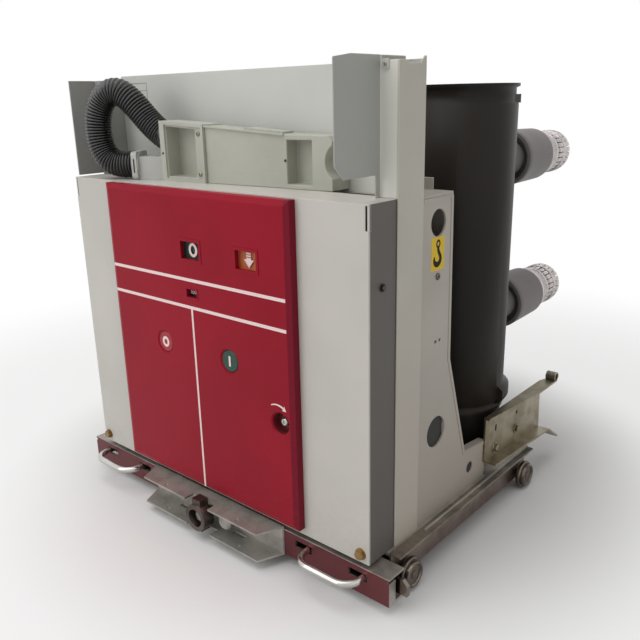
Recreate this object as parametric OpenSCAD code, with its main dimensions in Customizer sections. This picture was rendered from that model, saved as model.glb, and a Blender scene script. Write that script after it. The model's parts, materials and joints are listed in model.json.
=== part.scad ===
// Withdrawable vacuum circuit breaker on a racking truck, for a metal-clad switchgear cubicle.
// Millimetres, +Z up, +X to the right and +Y to the back as seen from the operator's side.
// Every module draws with y = 0 on the face of the front sheet and z = 0 on the bottom edge
// of the front housing; placed() then moves the part so that it stands centred on the floor.

/* [Front housing] */
// height of the front housing
housing_h = 462; // [440:1:500]
// depth of the folded front pan
housing_d = 56; // [50:1:60]
// sheet metal gauge of the pan, the uprights and the partition
sheet = 2; // [1.5:0.5:3]
// corner cut of the front sheet below its top flange
corner_cut = 5; // [4:0.5:7]
corner_cut_h = 28; // [20:1:34]

/* [Front cover] */
cover_w = 377; // [340:1:400]
// the cover's middle, to the left of the housing's middle
cover_shift = -4; // [-6:1:0]
// how far the moulded cover stands proud of the front sheet
cover_t = 14; // [12:1:18]
cover_wall = 3; // [2:0.5:4]
// bevel round the cover's face: its width and its drop
bevel_w = 8; // [6:1:10]
bevel_t = 3; // [2:0.5:4]
// distance of the cover's lower and upper edges from the housing's edges
cover_lift = 11; // [8:1:16]
cover_drop = 2; // [1:0.5:4]
// half the distance between the two push buttons
button_half = 70; // [55:1:85]
// height of the buttons over the cover's lower edge
button_rise = 221; // [200:1:240]
button_r = 16; // [12:0.5:18]
// turned rim round each button
bezel_w = 2.5; // [2:0.5:4]
// the windows' middle below the cover's upper edge
window_drop = 82; // [70:1:90]
window_w = 38; // [30:1:44]
window_h = 25; // [18:1:30]
// depth of the windows' pockets
window_deep = 8; // [6:0.5:9]
// the spring window's middle from the cover's right edge
spring_inset = 76; // [66:1:90]
counter_drop = 143; // [135:1:150]
counter_w = 22; // [18:1:26]
counter_h = 12; // [9:1:14]
// the charging hole from the cover's right and lower edges
crank_inset = 26; // [24:1:40]
crank_rise = 154; // [140:1:180]
crank_hole_r = 15; // [12:0.5:17]
shaft_r = 8; // [6:0.5:9]
// the charging shaft's end behind the cover's face
shaft_recess = 14.5; // [14:0.5:16]

/* [Frame] */
// thickness of the two frame side plates
side_t = 3; // [2:0.5:4]
// inward flange round the side plates
side_flange = 12; // [10:0.5:13]
// depth of the frame from the front sheet to the side plates' rear flange
frame_d = 180; // [160:1:200]
// step from the housing's top down to the top plate
frame_drop = 4; // [3:0.5:6]
back_t = 4; // [3:0.5:6]
// the side plates' feet behind the frame
foot_reach = 120; // [110:1:130]
foot_h = 68; // [60:1:74]
knee_h = 230; // [200:1:260]
lift_hole_r = 17.5; // [14:0.5:19]
// the lifting hole from the frame's rear and upper edges
lift_hole_in = 34; // [32:1:38]
lift_hole_drop = 33; // [28:1:45]
hand_hole_r = 22.5; // [18:0.5:26]
hand_hole_z = 131; // [110:1:150]
pin_hole_r = 2.5; // [2:0.5:3]
// stiffening lip behind the top plate
lip_h = 16; // [12:1:20]

/* [Uprights] */
// height of the uprights and the partition over the housing
upright_rise = 151; // [130:1:170]
upright_d = 54; // [48:1:58]
// from the right wing's outer face to the housing's side
wing_inset = 24; // [20:1:30]
// how far the right wing reaches in front of the front sheet
wing_reach = 28; // [20:1:30]
wing_gap = 26; // [20:1:32]
// the left wing's front edge behind the front sheet
left_wing_y = 8; // [4:1:14]

/* [Poles] */
// distance between the phases
phase = 210; // [200:1:215]
pole_r = 78; // [74:0.5:80]
// clearance between the outer poles and the housing's sides
pole_gap = 6; // [5:0.5:10]
pole_y = 344; // [336:1:350]
pole_low = 36; // [34:1:40]
// height of the upper contacts over the housing's bottom edge
upper_z = 474; // [465:1:480]
// distance between the upper and the lower contacts
contact_gap = 246; // [240:1:280]
// the pole's rim over the upper contacts
pole_over = 115; // [105:1:125]
// length of the pole's own collars behind its wall
collar_len = 14; // [10:1:18]
collar_r = 40; // [38:0.5:43]
bar_r = 30; // [27:0.5:31]
// bare length of the arm between the collar and the sleeve
bar_len = 48; // [40:1:60]
sleeve_len = 98; // [90:1:110]
sleeve_r = 45; // [42:0.5:47]
sleeve_wall = 6; // [5:0.5:8]
tulip_len = 84; // [78:1:90]
tulip_r = 37; // [35:0.5:39]
stud_r = 24.5; // [20:0.5:26]
// depth of the stud's seat in the fingers
seat_len = 60; // [55:1:66]
fingers = 24; // [16:2:30]
finger_gap = 1.6; // [1.2:0.1:2]
spring_wire_r = 3; // [2.5:0.5:3.5]

/* [Truck] */
// reach of the racking beam past the housing's sides
beam_over = 32; // [28:1:36]
beam_h = 41; // [38:1:44]
beam_d = 34; // [32:1:36]
beam_t = 3; // [2:0.5:4]
// clearance between the housing and the top of the beam
beam_gap = 6; // [5:0.5:8]
// slit between the beam's end flaps and its top flange
flap_slit = 4; // [3:0.5:6]
// from the housing's side to the rail's outer face
rail_over = 7; // [5:0.5:9]
rail_h = 44; // [42:1:48]
rail_flange = 26; // [22:1:30]
rail_lip = 15; // [12:1:17]
rail_t = 3; // [2:0.5:4]
deck_t = 3; // [2:0.5:4]
rail_end = 432; // [425:1:440]
wheel_r = 23; // [21:0.5:25]
wheel_w = 13; // [12:0.5:15]
hub_r = 18.5; // [17:0.5:20]
wheel_front = 68; // [66:1:80]
// the rear wheels from the rails' rear end
wheel_inset = 23; // [20:1:40]
axle_r = 6; // [5:0.5:8]
// the axles below the deck's top
axle_drop = 40; // [38:1:44]
channel_reach = 40; // [36:1:44]
channel_half = 128; // [115:1:135]
channel_splay = 17; // [12:1:22]
ring_r = 21; // [19:0.5:23]
ring_wall = 7; // [5:0.5:7]
ring_reach = 44; // [42:1:46]
screw_r = 9; // [8:0.5:10]
// the handles' outer legs from the beam's ends, and their width
handle_inset = 41; // [38:1:50]
handle_w = 95; // [85:1:105]
handle_reach = 30; // [27:1:36]
handle_bar_r = 5; // [4:0.5:6]
// the handles' bars over the screw's axis
handle_rise = 5; // [3:0.5:6]
handle_bend = 24; // [18:1:27]
tongue_travel = 18; // [15:1:20]
tongue_out = 14; // [11:1:16]
tongue_h = 22; // [18:1:23]
tongue_t = 6; // [5:0.5:8]

/* [Control plug] */
plug_d = 38; // [34:1:40]
plug_h = 86; // [78:1:90]
socket_w = 87; // [75:1:95]
lid_w = 141; // [125:1:155]
grip_w = 76; // [70:1:82]
hose_r = 20; // [17:0.5:21]

/* [View] */

/* [Hidden] */
$fn = 48;
run_gap = 0.05;
slide_gap = 0.5;
button_gap = 0.3;
side_x = phase + pole_r + pole_gap;
floor_z = -(wheel_r + axle_drop);
wheel_z = floor_z + wheel_r;
lower_z = upper_z - contact_gap;
pole_top = upper_z + pole_over;
collar_end = pole_y + pole_r + collar_len;
sleeve_start = collar_end + bar_len;
sleeve_end = sleeve_start + sleeve_len;
contact_end = sleeve_end + tulip_len;
front_y = -(contact_end - ring_reach) / 2;
frame_h = housing_h - frame_drop - side_t;
foot_len = frame_d + foot_reach;
strip_y = housing_d - sheet;
partition_y = strip_y + upright_d - 2 * sheet;
upright_top = housing_h + upright_rise;
wing_x = side_x - wing_inset;
cover_low = cover_lift;
cover_top = housing_h - cover_drop;
cover_left = cover_shift - cover_w / 2;
cover_right = cover_shift + cover_w / 2;
button_z = cover_low + button_rise;
window_z = cover_top - window_drop;
counter_z = cover_top - counter_drop;
spring_x = cover_right - spring_inset;
crank_x = cover_right - crank_inset;
crank_z = cover_low + crank_rise;
beam_l = 2 * (side_x + beam_over);
beam_top = -beam_gap;
beam_low = beam_top - beam_h;
beam_front = -1;
beam_back = beam_front + beam_d;
rail_x = side_x + rail_over;
rail_low = -deck_t - rail_h;
truck_y = beam_back + 6;
screw_z = beam_top - beam_h / 2 + 1;
wheel_rear = rail_end - wheel_inset;
wheel_in = rail_x + 7;
wheel_out = wheel_in + wheel_w;
handle_z = screw_z + handle_rise;
ring_back = -channel_reach + 16;
handle_out = beam_l / 2 - handle_inset;
handle_in = handle_out - handle_w;
tongue_y = beam_back - tongue_t - 8;
flap_d = tongue_y - beam_front - 5;
rows = [["upper", upper_z], ["lower", lower_z]];

module placed() {
    translate([0, front_y, -floor_z]) children();
}

module mirrored(side) {
    if (side < 0) mirror([1, 0, 0]) children();
    else children();
}

// a cylinder along +Y from y0 to y1
module rod_y(x, z, r, y0, y1) {
    translate([x, y1, z]) rotate([90, 0, 0]) cylinder(h = y1 - y0, r = r);
}

// a cylinder along +X from x0 to x1
module rod_x(y, z, r, x0, x1) {
    translate([x0, y, z]) rotate([0, 90, 0]) cylinder(h = x1 - x0, r = r);
}

// a turned piece about an axis along +Y through x and z, its outline given as [radius, y]
module turned_y(x, z, y0, outline) {
    translate([x, y0, z]) rotate([-90, 0, 0]) rotate_extrude() polygon(outline);
}

module block(x0, x1, y0, y1, z0, z1) {
    translate([x0, y0, z0]) cube([x1 - x0, y1 - y0, z1 - z0]);
}

// a plate in the YZ plane from x0 to x1, its outline given as [y, z]
module side_sheet(x0, x1, outline) {
    translate([x0, 0, 0]) rotate([90, 0, 90]) linear_extrude(x1 - x0) polygon(outline);
}

// a plate in the XZ plane from y0 to y1, its outline given as [x, z]
module front_sheet(y0, y1, outline) {
    translate([0, y1, 0]) rotate([90, 0, 0]) linear_extrude(y1 - y0) polygon(outline);
}

// Truck

module truck_deck() {
    color("Silver") placed()
        block(-rail_x + rail_t, rail_x - rail_t, truck_y, foot_len, -deck_t, 0);
}

// a folded rail: an inner channel, a web up to the deck's top and a lip outwards over the wheels
module truck_rail(side) {
    inner = rail_x - rail_flange;
    color("Silver") placed() mirrored(side) {
        difference() {
            union() {
                block(inner, rail_x, truck_y, rail_end, rail_low, 0);
                block(rail_x - rail_t, rail_x + rail_lip, truck_y, rail_end, -deck_t, 0);
            }
            block(inner - 1, rail_x - rail_t, truck_y - 1, rail_end + 1,
                rail_low + rail_t, -deck_t - rail_t);
            block(inner - 1, rail_x - rail_t, truck_y - 1, rail_end + 1, -deck_t, 1);
        }
        for (y = [wheel_front, wheel_rear])
            rod_x(y, wheel_z, axle_r, rail_x - rail_t / 2, wheel_out - 1);
    }
}
module truck_rail_left() { truck_rail(-1); }
module truck_rail_right() { truck_rail(1); }

module nut_plate() {
    half = rail_x - rail_flange;
    color("Silver") placed() difference() {
        union() {
            block(-half, half, truck_y + 4, truck_y + 9, rail_low, -deck_t);
            block(-22, 22, truck_y + 9, truck_y + 40, rail_low + 2, -deck_t);
        }
        rod_y(0, screw_z, screw_r + slide_gap, truck_y, truck_y + 50);
    }
}

module rear_crossbar() {
    half = rail_x - rail_flange;
    color("Silver") placed() difference() {
        block(-half, half, rail_end - 26, rail_end, rail_low, -deck_t);
        block(-half - 1, half + 1, rail_end - 27, rail_end - rail_t,
            rail_low + rail_t, -deck_t - rail_t);
    }
}

// a tread with a smaller hub outside it, and a turned recess in the hub's face
module wheel(side, y) {
    bore = axle_r + run_gap;
    tread = wheel_w * 0.55;
    color("Gainsboro") placed() mirrored(side)
        translate([wheel_in, y, wheel_z]) rotate([0, 90, 0]) rotate_extrude()
            polygon([[bore, 0], [wheel_r - 1, 0], [wheel_r, 1], [wheel_r, tread - 1.5],
                [wheel_r - 1.5, tread], [hub_r, tread], [hub_r, wheel_w - 1],
                [hub_r - 1, wheel_w], [hub_r - 3.5, wheel_w], [hub_r - 5, wheel_w - 2],
                [bore, wheel_w - 2]]);
}
module wheel_front_left() { wheel(-1, wheel_front); }
module wheel_front_right() { wheel(1, wheel_front); }
module wheel_rear_left() { wheel(-1, wheel_rear); }
module wheel_rear_right() { wheel(1, wheel_rear); }

// Racking beam, which the lead screw draws towards or away from the truck

module racking_beam() {
    end = beam_l / 2;
    color("LightGray") placed() difference() {
        union() {
            difference() {
                block(-end, end, beam_front, beam_back, beam_low, beam_top);
                block(-end - 1, end + 1, beam_front + beam_t, beam_back + 1,
                    beam_low + beam_t, beam_top - beam_t);
            }
            for (side = [-1, 1]) mirrored(side)
                block(end - beam_t, end, beam_front, beam_front + flap_d,
                    beam_low, beam_top - beam_t - flap_slit);
        }
        for (side = [-1, 1]) mirrored(side) {
            block(end - beam_t, end + 1, beam_front - 1, beam_front + flap_d,
                beam_top - beam_t - flap_slit, beam_top - beam_t);
            for (x = [handle_in, handle_out])
                block(x - tongue_travel - handle_bar_r - 1, x + handle_bar_r + 1,
                    beam_front - 1, beam_front + beam_t + 1,
                    handle_z - handle_bar_r - slide_gap, handle_z + handle_bar_r + slide_gap);
        }
        rod_y(0, screw_z, screw_r + run_gap, beam_front - 1, beam_front + beam_t + 1);
    }
}

module guide_bar(side) {
    bar_in = rail_x - rail_flange + 2;
    color("Silver") placed() mirrored(side)
        block(bar_in, bar_in + 8, tongue_y + tongue_t + 5, rail_end - 60,
            max(rail_low + rail_t + slide_gap, beam_low + beam_t), beam_top - beam_t);
}
module guide_bar_left() { guide_bar(-1); }
module guide_bar_right() { guide_bar(1); }

// a channel with splayed ends in front of the beam, and in it the ring that guides the crank
module crank_channel() {
    top = beam_top + 4;
    low = beam_low - 1;
    notch = ring_r + 5;
    color("Silver") placed() difference() {
        union() {
            difference() {
                translate([0, 0, low]) linear_extrude(top - low)
                    polygon([[-channel_half - channel_splay, beam_front], [-channel_half, -channel_reach],
                        [channel_half, -channel_reach], [channel_half + channel_splay, beam_front]]);
                block(-channel_half - 40, channel_half + 40, -channel_reach - 1, beam_front - beam_t,
                    low + beam_t, top - beam_t);
                block(-notch, notch, -channel_reach - 1, ring_back, low - 1, top + 1);
            }
            turned_y(ring_r + 25, screw_z + 3, beam_front - 27,
                [[0, 0], [10, 0], [13, 3], [13, 16], [9, 17], [9, 26], [0, 26]]);
        }
        rod_y(0, screw_z, screw_r + run_gap, beam_front - beam_t - 1, beam_front + 1);
        for (side = [-1, 1]) mirrored(side) {
            translate([81, -channel_reach + 8, low - 1]) cylinder(h = top - low + 2, r = 3);
            block(50, 74, beam_front - 15, beam_front - 7, low - 1, low + beam_t + 1);
        }
    }
}

// the ring that guides the crank on to the screw, on a strap between the channel's flanges
module crank_ring() {
    strap_half = 9;
    color("DarkGray") placed() difference() {
        union() {
            rod_y(0, screw_z, ring_r, -ring_reach, ring_back);
            block(-strap_half, strap_half, -channel_reach, ring_back, beam_low - 1, beam_top + 10);
        }
        rod_y(0, screw_z, ring_r - ring_wall, -ring_reach - 1, ring_back + 1);
    }
}

// the screw's plain shaft, a hexagon for the crank and a thrust collar behind the beam's face
module racking_screw() {
    collar_y = beam_front + beam_t + slide_gap;
    color("DimGray") placed() {
        rod_y(0, screw_z, screw_r, -channel_reach + 18, rail_end - 70);
        translate([0, -channel_reach + 18, screw_z]) rotate([90, 0, 0])
            cylinder(h = 14, r = screw_r - 0.5, $fn = 6);
        rod_y(0, screw_z, screw_r + 4, collar_y, collar_y + 8);
    }
}

// a bent round bar, its legs through the beam's slots on to the tongue that locks the beam
module handle(side) {
    bar_y = beam_front - handle_reach;
    color("WhiteSmoke") placed() mirrored(side) {
        rod_x(bar_y, handle_z, handle_bar_r, handle_in + handle_bend, handle_out - handle_bend);
        for (x = [handle_in, handle_out])
            rod_y(x, handle_z, handle_bar_r, bar_y + handle_bend, tongue_y + 1);
        translate([handle_in + handle_bend, bar_y + handle_bend, handle_z]) rotate([0, 0, 180])
            rotate_extrude(angle = 90) translate([handle_bend, 0]) circle(handle_bar_r);
        translate([handle_out - handle_bend, bar_y + handle_bend, handle_z]) rotate([0, 0, 270])
            rotate_extrude(angle = 90) translate([handle_bend, 0]) circle(handle_bar_r);
        difference() {
            block(handle_in - handle_bar_r, beam_l / 2 + tongue_out, tongue_y, tongue_y + tongue_t,
                screw_z - tongue_h / 2, screw_z + tongue_h / 2);
            translate([beam_l / 2 + tongue_out, tongue_y - 1, screw_z + tongue_h / 2])
                rotate([0, 45, 0]) cube([10, 2 * tongue_t + 2, 10], center = true);
        }
    }
}
module handle_left() { handle(-1); }
module handle_right() { handle(1); }

// Front housing

module housing_front() {
    color("LightGray") placed() difference() {
        block(-side_x, side_x, 0, housing_d, 0, housing_h);
        block(-side_x + sheet, side_x - sheet, sheet, housing_d + 1, sheet, housing_h - sheet);
        for (side = [-1, 1]) {
            rod_y(cover_shift + side * button_half, button_z, button_r + 1, -1, sheet + 1);
            mirrored(side)
                block(side_x - corner_cut, side_x + 1, -1, corner_cut,
                    housing_h - sheet - corner_cut_h, housing_h - sheet);
        }
        rod_y(crank_x, crank_z, shaft_r + run_gap, -1, sheet + 1);
    }
}

// a moulded shell with a bevelled face, pocketed windows and bosses round the buttons and the crank
module front_cover() {
    face = -cover_t + bevel_t;
    color("FireBrick") placed() difference() {
        union() {
            block(cover_left, cover_right, face, 0, cover_low, cover_top);
            hull() {
                block(cover_left, cover_right, face - 0.01, face, cover_low, cover_top);
                block(cover_left + bevel_w, cover_right - bevel_w, -cover_t, face,
                    cover_low + bevel_w, cover_top - bevel_w);
            }
        }
        difference() {
            block(cover_left + cover_wall, cover_right - cover_wall, face + cover_wall, 1,
                cover_low + cover_wall, cover_top - cover_wall);
            for (side = [-1, 1])
                rod_y(cover_shift + side * button_half, button_z, button_r + 3, face, 2);
            rod_y(crank_x, crank_z, crank_hole_r + 2.5, face, 2);
        }
        for (side = [-1, 1]) {
            rod_y(cover_shift + side * button_half, button_z, button_r + button_gap, -cover_t - 1, 2);
            rod_y(cover_shift + side * button_half, button_z, button_r + bezel_w, -cover_t - 1, -cover_t + 1);
        }
        turned_y(crank_x, crank_z, -cover_t,
            [[0, -1], [crank_hole_r + 2, -1], [crank_hole_r + 2, 0], [crank_hole_r, 2],
                [crank_hole_r, cover_t + 2], [0, cover_t + 2]]);
        for (x = [cover_shift + 2, spring_x])
            block(x - window_w / 2, x + window_w / 2, -cover_t - 1, face + cover_wall + 1,
                window_z - window_h / 2, window_z + window_h / 2);
        block(cover_shift - counter_w / 2, cover_shift + counter_w / 2, -cover_t - 1, face + cover_wall + 1,
            counter_z - counter_h / 2, counter_z + counter_h / 2);
    }
}

// a flag behind a window, held between the cover and the front sheet
module indicator(x, z, w, h) {
    back = -cover_t + bevel_t + cover_wall;
    placed() difference() {
        block(x - w / 2 - 3, x + w / 2 + 3, back, 0, z - h / 2 - 3, z + h / 2 + 3);
        block(x - w / 2, x + w / 2, back - 1, -cover_t + window_deep, z - h / 2, z + h / 2);
    }
}
module state_indicator() { color("DarkGreen") indicator(cover_shift + 2, window_z, window_w, window_h); }
module spring_indicator() { color("Orange") indicator(spring_x, window_z, window_w, window_h); }
module operation_counter() { color("Black") indicator(cover_shift, counter_z, counter_w, counter_h); }

module button(x) {
    placed() turned_y(x, button_z, -cover_t + 0.5,
        [[0, 0], [button_r - 1.5, 0], [button_r, 1.5], [button_r, cover_t - 2], [0, cover_t - 2]]);
}
module open_button() { color("Red") button(cover_shift - button_half); }
module close_button() { color("Green") button(cover_shift + button_half); }

module charging_shaft() {
    color("Gray") placed() rod_y(crank_x, crank_z, shaft_r, -cover_t + shaft_recess, housing_d - 16);
}

module earth_bolts() {
    color("Goldenrod") placed() for (side = [-1, 1]) {
        rod_y(side * (side_x - 13), 13, 8, -1.5, 0);
        translate([side * (side_x - 13), -1.5, 13]) rotate([90, 0, 0]) cylinder(h = 5, r = 6.5, $fn = 6);
    }
}

// Uprights and partition

// the right upright: a notched outer web, a front strip and an inner wing that reaches forwards
module upright_right() {
    rear = strip_y + upright_d;
    wing_low = housing_h + wing_gap;
    wing_top = upright_top + 6;
    color("LightGray") placed() {
        side_sheet(side_x, side_x + sheet, [[strip_y, 0], [rear, 0], [rear, upright_top + 5],
            [rear - 4, upright_top + 5], [rear - 12, upright_top - 3], [strip_y + 20, upright_top - 3],
            [strip_y + 14, upright_top], [strip_y, upright_top]]);
        block(wing_x - sheet, side_x, strip_y, strip_y + sheet, housing_h, upright_top);
        side_sheet(wing_x - sheet, wing_x, [[-wing_reach, wing_low + 15], [-wing_reach + 15, wing_low],
            [strip_y - 8, wing_low], [strip_y - 8, housing_h], [partition_y, housing_h],
            [partition_y, wing_top], [-wing_reach + 30, wing_top], [-wing_reach, wing_top - 4]]);
    }
}

// the left upright: one plate whose upper part reaches forwards over the housing
module upright_left() {
    rear = strip_y + upright_d;
    top = upright_top - 5;
    color("LightGray") placed() mirrored(-1) {
        side_sheet(side_x, side_x + sheet, [[strip_y, 0], [rear, 0], [rear, top], [left_wing_y, top],
            [left_wing_y, housing_h + sheet], [strip_y, housing_h + sheet]]);
        block(side_x - 16, side_x, strip_y, strip_y + sheet, housing_h, top);
    }
}

module partition_plate() {
    color("LightGray") placed()
        block(-side_x, side_x, partition_y, partition_y + sheet, frame_h + side_t, upright_top + 2);
}

// Frame behind the front housing

// a folded side plate, flanged inwards along its top, its sloping rear and its foot
module frame_side(side) {
    heel = frame_d + 56;
    knee = frame_d + 4;
    toe = foot_h - 7;
    color("LightGray") placed() mirrored(side) difference() {
        side_sheet(side_x - side_flange, side_x, [[housing_d, 0], [foot_len, 0], [foot_len, toe],
            [heel, foot_h], [knee, knee_h], [frame_d, frame_h], [housing_d, frame_h]]);
        side_sheet(side_x - side_flange - 1, side_x - side_t, [[housing_d - 1, -1], [foot_len + 1, -1],
            [foot_len + 1, toe - side_t], [heel - side_t, foot_h - side_t], [knee - side_t, knee_h],
            [frame_d - side_t, frame_h - side_t], [housing_d - 1, frame_h - side_t]]);
        rod_x(frame_d - lift_hole_in, frame_h - lift_hole_drop, lift_hole_r, side_x - side_t - 1, side_x + 1);
        rod_x(frame_d - 27, hand_hole_z, hand_hole_r, side_x - side_t - 1, side_x + 1);
        for (back = [24, 34])
            rod_x(frame_d - back, knee_h + 34, pin_hole_r, side_x - side_t - 1, side_x + 1);
        rod_x(foot_len - 47, toe / 2 + 3, 9, side_x - side_t - 1, side_x + 1);
    }
}
module frame_side_left() { frame_side(-1); }
module frame_side_right() { frame_side(1); }

module back_plate() {
    rear = frame_d - side_t;
    color("LightGray") placed()
        block(-side_x + side_t, side_x - side_t, rear - back_t, rear, 0, frame_h - side_t);
}

module top_plate() {
    color("LightGray") placed() {
        block(-side_x, side_x, housing_d, frame_d, frame_h, frame_h + side_t);
        block(-side_x + 26, side_x - 26, frame_d - 6 - sheet, frame_d - 6, frame_h, frame_h + side_t + lip_h);
    }
}

// Poles

// a cast barrel with a grooved foot, a neck under its rim, two feet on the back plate and two collars
module pole(x) {
    foot_y = frame_d - side_t;
    foot_rows = [lower_z - 88, upper_z - 84];
    color("DimGray") placed() {
        translate([x, pole_y, 0]) rotate_extrude() polygon([[0, pole_low], [pole_r - 6, pole_low],
            [pole_r - 3, pole_low + 3], [pole_r - 3, pole_low + 56], [pole_r, pole_low + 60],
            [pole_r, pole_low + 68], [pole_r - 3, pole_low + 70], [pole_r - 3, pole_low + 74],
            [pole_r, pole_low + 76], [pole_r, pole_top - 28], [pole_r - 4, pole_top - 25],
            [pole_r - 4, pole_top - 6], [pole_r + 1, pole_top - 4], [pole_r + 1, pole_top],
            [pole_r - 7, pole_top], [pole_r - 7, pole_top - 12], [32, pole_top - 12],
            [30, pole_top - 4], [0, pole_top - 4]]);
        for (z = foot_rows) {
            block(x - 32, x + 32, foot_y, pole_y, z - 30, z + 30);
            block(x - 46, x + 46, foot_y, foot_y + 12, z - 44, z + 44);
        }
        for (side = [-1, 1])
            block(x + side * (pole_r - 12) - 6, x + side * (pole_r - 12) + 6, pole_y, pole_y + 36,
                pole_top - 27, pole_top - 15);
        translate([x, pole_y, pole_low + 70]) rotate_extrude(angle = 180)
            polygon([[pole_r - 6, 0], [pole_r + 4, 0], [pole_r + 9, 8], [pole_r + 9, 22], [pole_r - 2, 30],
                [pole_r - 6, 30]]);
        for (row = rows)
            rod_y(x, row[1], collar_r, pole_y, collar_end);
    }
}
module pole_left() { pole(-phase); }
module pole_centre() { pole(0); }
module pole_right() { pole(phase); }

// a round contact arm under an insulating sleeve, which stands open towards the pole
module arm(x, z) {
    color("Silver") placed() turned_y(x, z, collar_end,
        [[0, 0], [bar_r, 0], [bar_r, bar_len + 12], [sleeve_r - sleeve_wall, bar_len + 12],
            [sleeve_r - sleeve_wall, bar_len], [sleeve_r - 1, bar_len], [sleeve_r, bar_len + 1],
            [sleeve_r - 2, bar_len + sleeve_len - 8], [sleeve_r - 6, bar_len + sleeve_len],
            [0, bar_len + sleeve_len]]);
}
module arm_upper_left() { arm(-phase, upper_z); }
module arm_upper_centre() { arm(0, upper_z); }
module arm_upper_right() { arm(phase, upper_z); }
module arm_lower_left() { arm(-phase, lower_z); }
module arm_lower_centre() { arm(0, lower_z); }
module arm_lower_right() { arm(phase, lower_z); }

// a ring of spring fingers round the stud's seat, held by two garter springs
module tulip(x, z) {
    seat = tulip_len - seat_len;
    root = seat - 8;
    waist = tulip_r - spring_wire_r;
    color("Gainsboro") placed() {
        difference() {
            turned_y(x, z, sleeve_end, [[0, 0], [tulip_r, 0], [tulip_r, root + 4], [waist, root + 7],
                [waist, tulip_len - 20], [tulip_r, tulip_len - 17], [tulip_r - 1, tulip_len - 6],
                [stud_r + 6, tulip_len], [stud_r + 3, tulip_len], [stud_r, tulip_len - 5],
                [stud_r, seat], [0, seat]]);
            for (k = [0 : fingers - 1])
                translate([x, sleeve_end, z]) rotate([0, 360 * k / fingers, 0])
                    block(stud_r + 3.5, tulip_r + 1, root + 10, tulip_len + 1, -finger_gap / 2, finger_gap / 2);
        }
        for (y = [root + 12, tulip_len - 25])
            translate([x, sleeve_end + y, z]) rotate([90, 0, 0]) rotate_extrude()
                translate([waist, 0]) circle(spring_wire_r);
    }
}
module tulip_upper_left() { tulip(-phase, upper_z); }
module tulip_upper_centre() { tulip(0, upper_z); }
module tulip_upper_right() { tulip(phase, upper_z); }
module tulip_lower_left() { tulip(-phase, lower_z); }
module tulip_lower_centre() { tulip(0, lower_z); }
module tulip_lower_right() { tulip(phase, lower_z); }

// Shutter rails

// a bracket on the side plate's foot: a web, a top flange that widens to a round tip and a ramp below
module shutter_rail(side) {
    web_x = side_x + 3;
    start = foot_len - 6;
    top = 100;
    color("Khaki") placed() mirrored(side) {
        difference() {
            side_sheet(side_x, web_x, [[start, 25], [foot_len + 191, 11], [foot_len + 187, top - 3],
                [foot_len + 187, top], [start, top]]);
            hull() for (z = [-3, 3]) rod_x(foot_len + 28, top - 28 + z, 2.5, side_x - 1, web_x + 1);
            rod_x(foot_len + 100, top - 27, 3, side_x - 1, web_x + 1);
        }
        translate([0, 0, top - 3]) linear_extrude(3) union() {
            polygon([[side_x, start], [side_x + 9, start], [side_x + 23, foot_len + 125],
                [side_x + 23, foot_len + 208], [side_x + 5, foot_len + 208], [side_x, foot_len + 187]]);
            translate([side_x + 14, foot_len + 208]) circle(9);
        }
        side_sheet(web_x - 0.5, web_x + 20, [[start, 25], [foot_len + 191, 11], [foot_len + 230, -16],
            [foot_len + 232, -14], [foot_len + 192, 14], [start, 28]]);
    }
}
module shutter_rail_left() { shutter_rail(-1); }
module shutter_rail_right() { shutter_rail(1); }

// Control plug, which lies on the housing, and its corrugated hose

plug_at = [-114, 38.7];
plug_turn = 5;
lid_u = socket_w + lid_w;
plug_end = lid_u + grip_w;

function on_plug(u, v, w) = [plug_at[0] + u * cos(plug_turn) - v * sin(plug_turn),
    plug_at[1] + u * sin(plug_turn) + v * cos(plug_turn), housing_h + w];

module plug_pose() {
    translate([plug_at[0], plug_at[1], housing_h]) rotate([0, 0, plug_turn]) children();
}

// the contact end: a frame round an open pocket
module plug_socket() {
    color("Gainsboro") placed() plug_pose() difference() {
        front_sheet(0, plug_d, [[0, 0], [socket_w, 0], [socket_w, plug_h - 5], [0, plug_h]]);
        front_sheet(-1, plug_d - 12, [[11, 7], [socket_w - 18, 7], [socket_w - 18, plug_h - 12], [11, plug_h - 8]]);
    }
}

// the lid over the wires, which tapers towards the grip
module plug_cover() {
    color("Gainsboro") placed() plug_pose()
        front_sheet(2, plug_d, [[socket_w, 0], [lid_u, 0], [lid_u, plug_h - 17], [socket_w, plug_h - 7]]);
}

// the grip: an open pocket and an end wall with a finger notch
module plug_grip() {
    notch_r = 24;
    color("Gainsboro") placed() plug_pose() difference() {
        front_sheet(0, plug_d, [[lid_u, 0], [plug_end, 0], [plug_end, plug_h - 24], [plug_end - 6, plug_h - 18],
            [lid_u, plug_h - 17]]);
        block(lid_u + 5, plug_end - 31, -1, plug_d - 16, 6, plug_h - 24);
        rod_y(plug_end - 11 + notch_r, 36, notch_r, -1, plug_d + 1);
    }
}

// the gland box, turned towards the hose
elbow_at = [-152, 50];
elbow_turn = 30;
elbow_in = 26;
elbow_z = hose_r + 2;
function off_elbow(u, w) = [elbow_at[0] - u * cos(elbow_turn), elbow_at[1] - u * sin(elbow_turn), housing_h + w];

// the hose's own route, from the gland's collar round to the plug's end wall
hose_route = [off_elbow(elbow_in, elbow_z), off_elbow(elbow_in + 12, elbow_z), [-196, 25, housing_h + 22],
    [-208, 19, housing_h + 25], [-219, 14, housing_h + 34], [-226, 11, housing_h + 51],
    [-228, 10, housing_h + 74], [-225, 11, housing_h + 97], [-217, 15, housing_h + 115],
    [-205, 20, housing_h + 126], [-190, 27, housing_h + 127], [-175, 34, housing_h + 116],
    [-162, 41, housing_h + 100], [-148, 48, housing_h + 82], on_plug(-12, 18, 64), on_plug(-0.3, 18, 64)];

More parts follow.
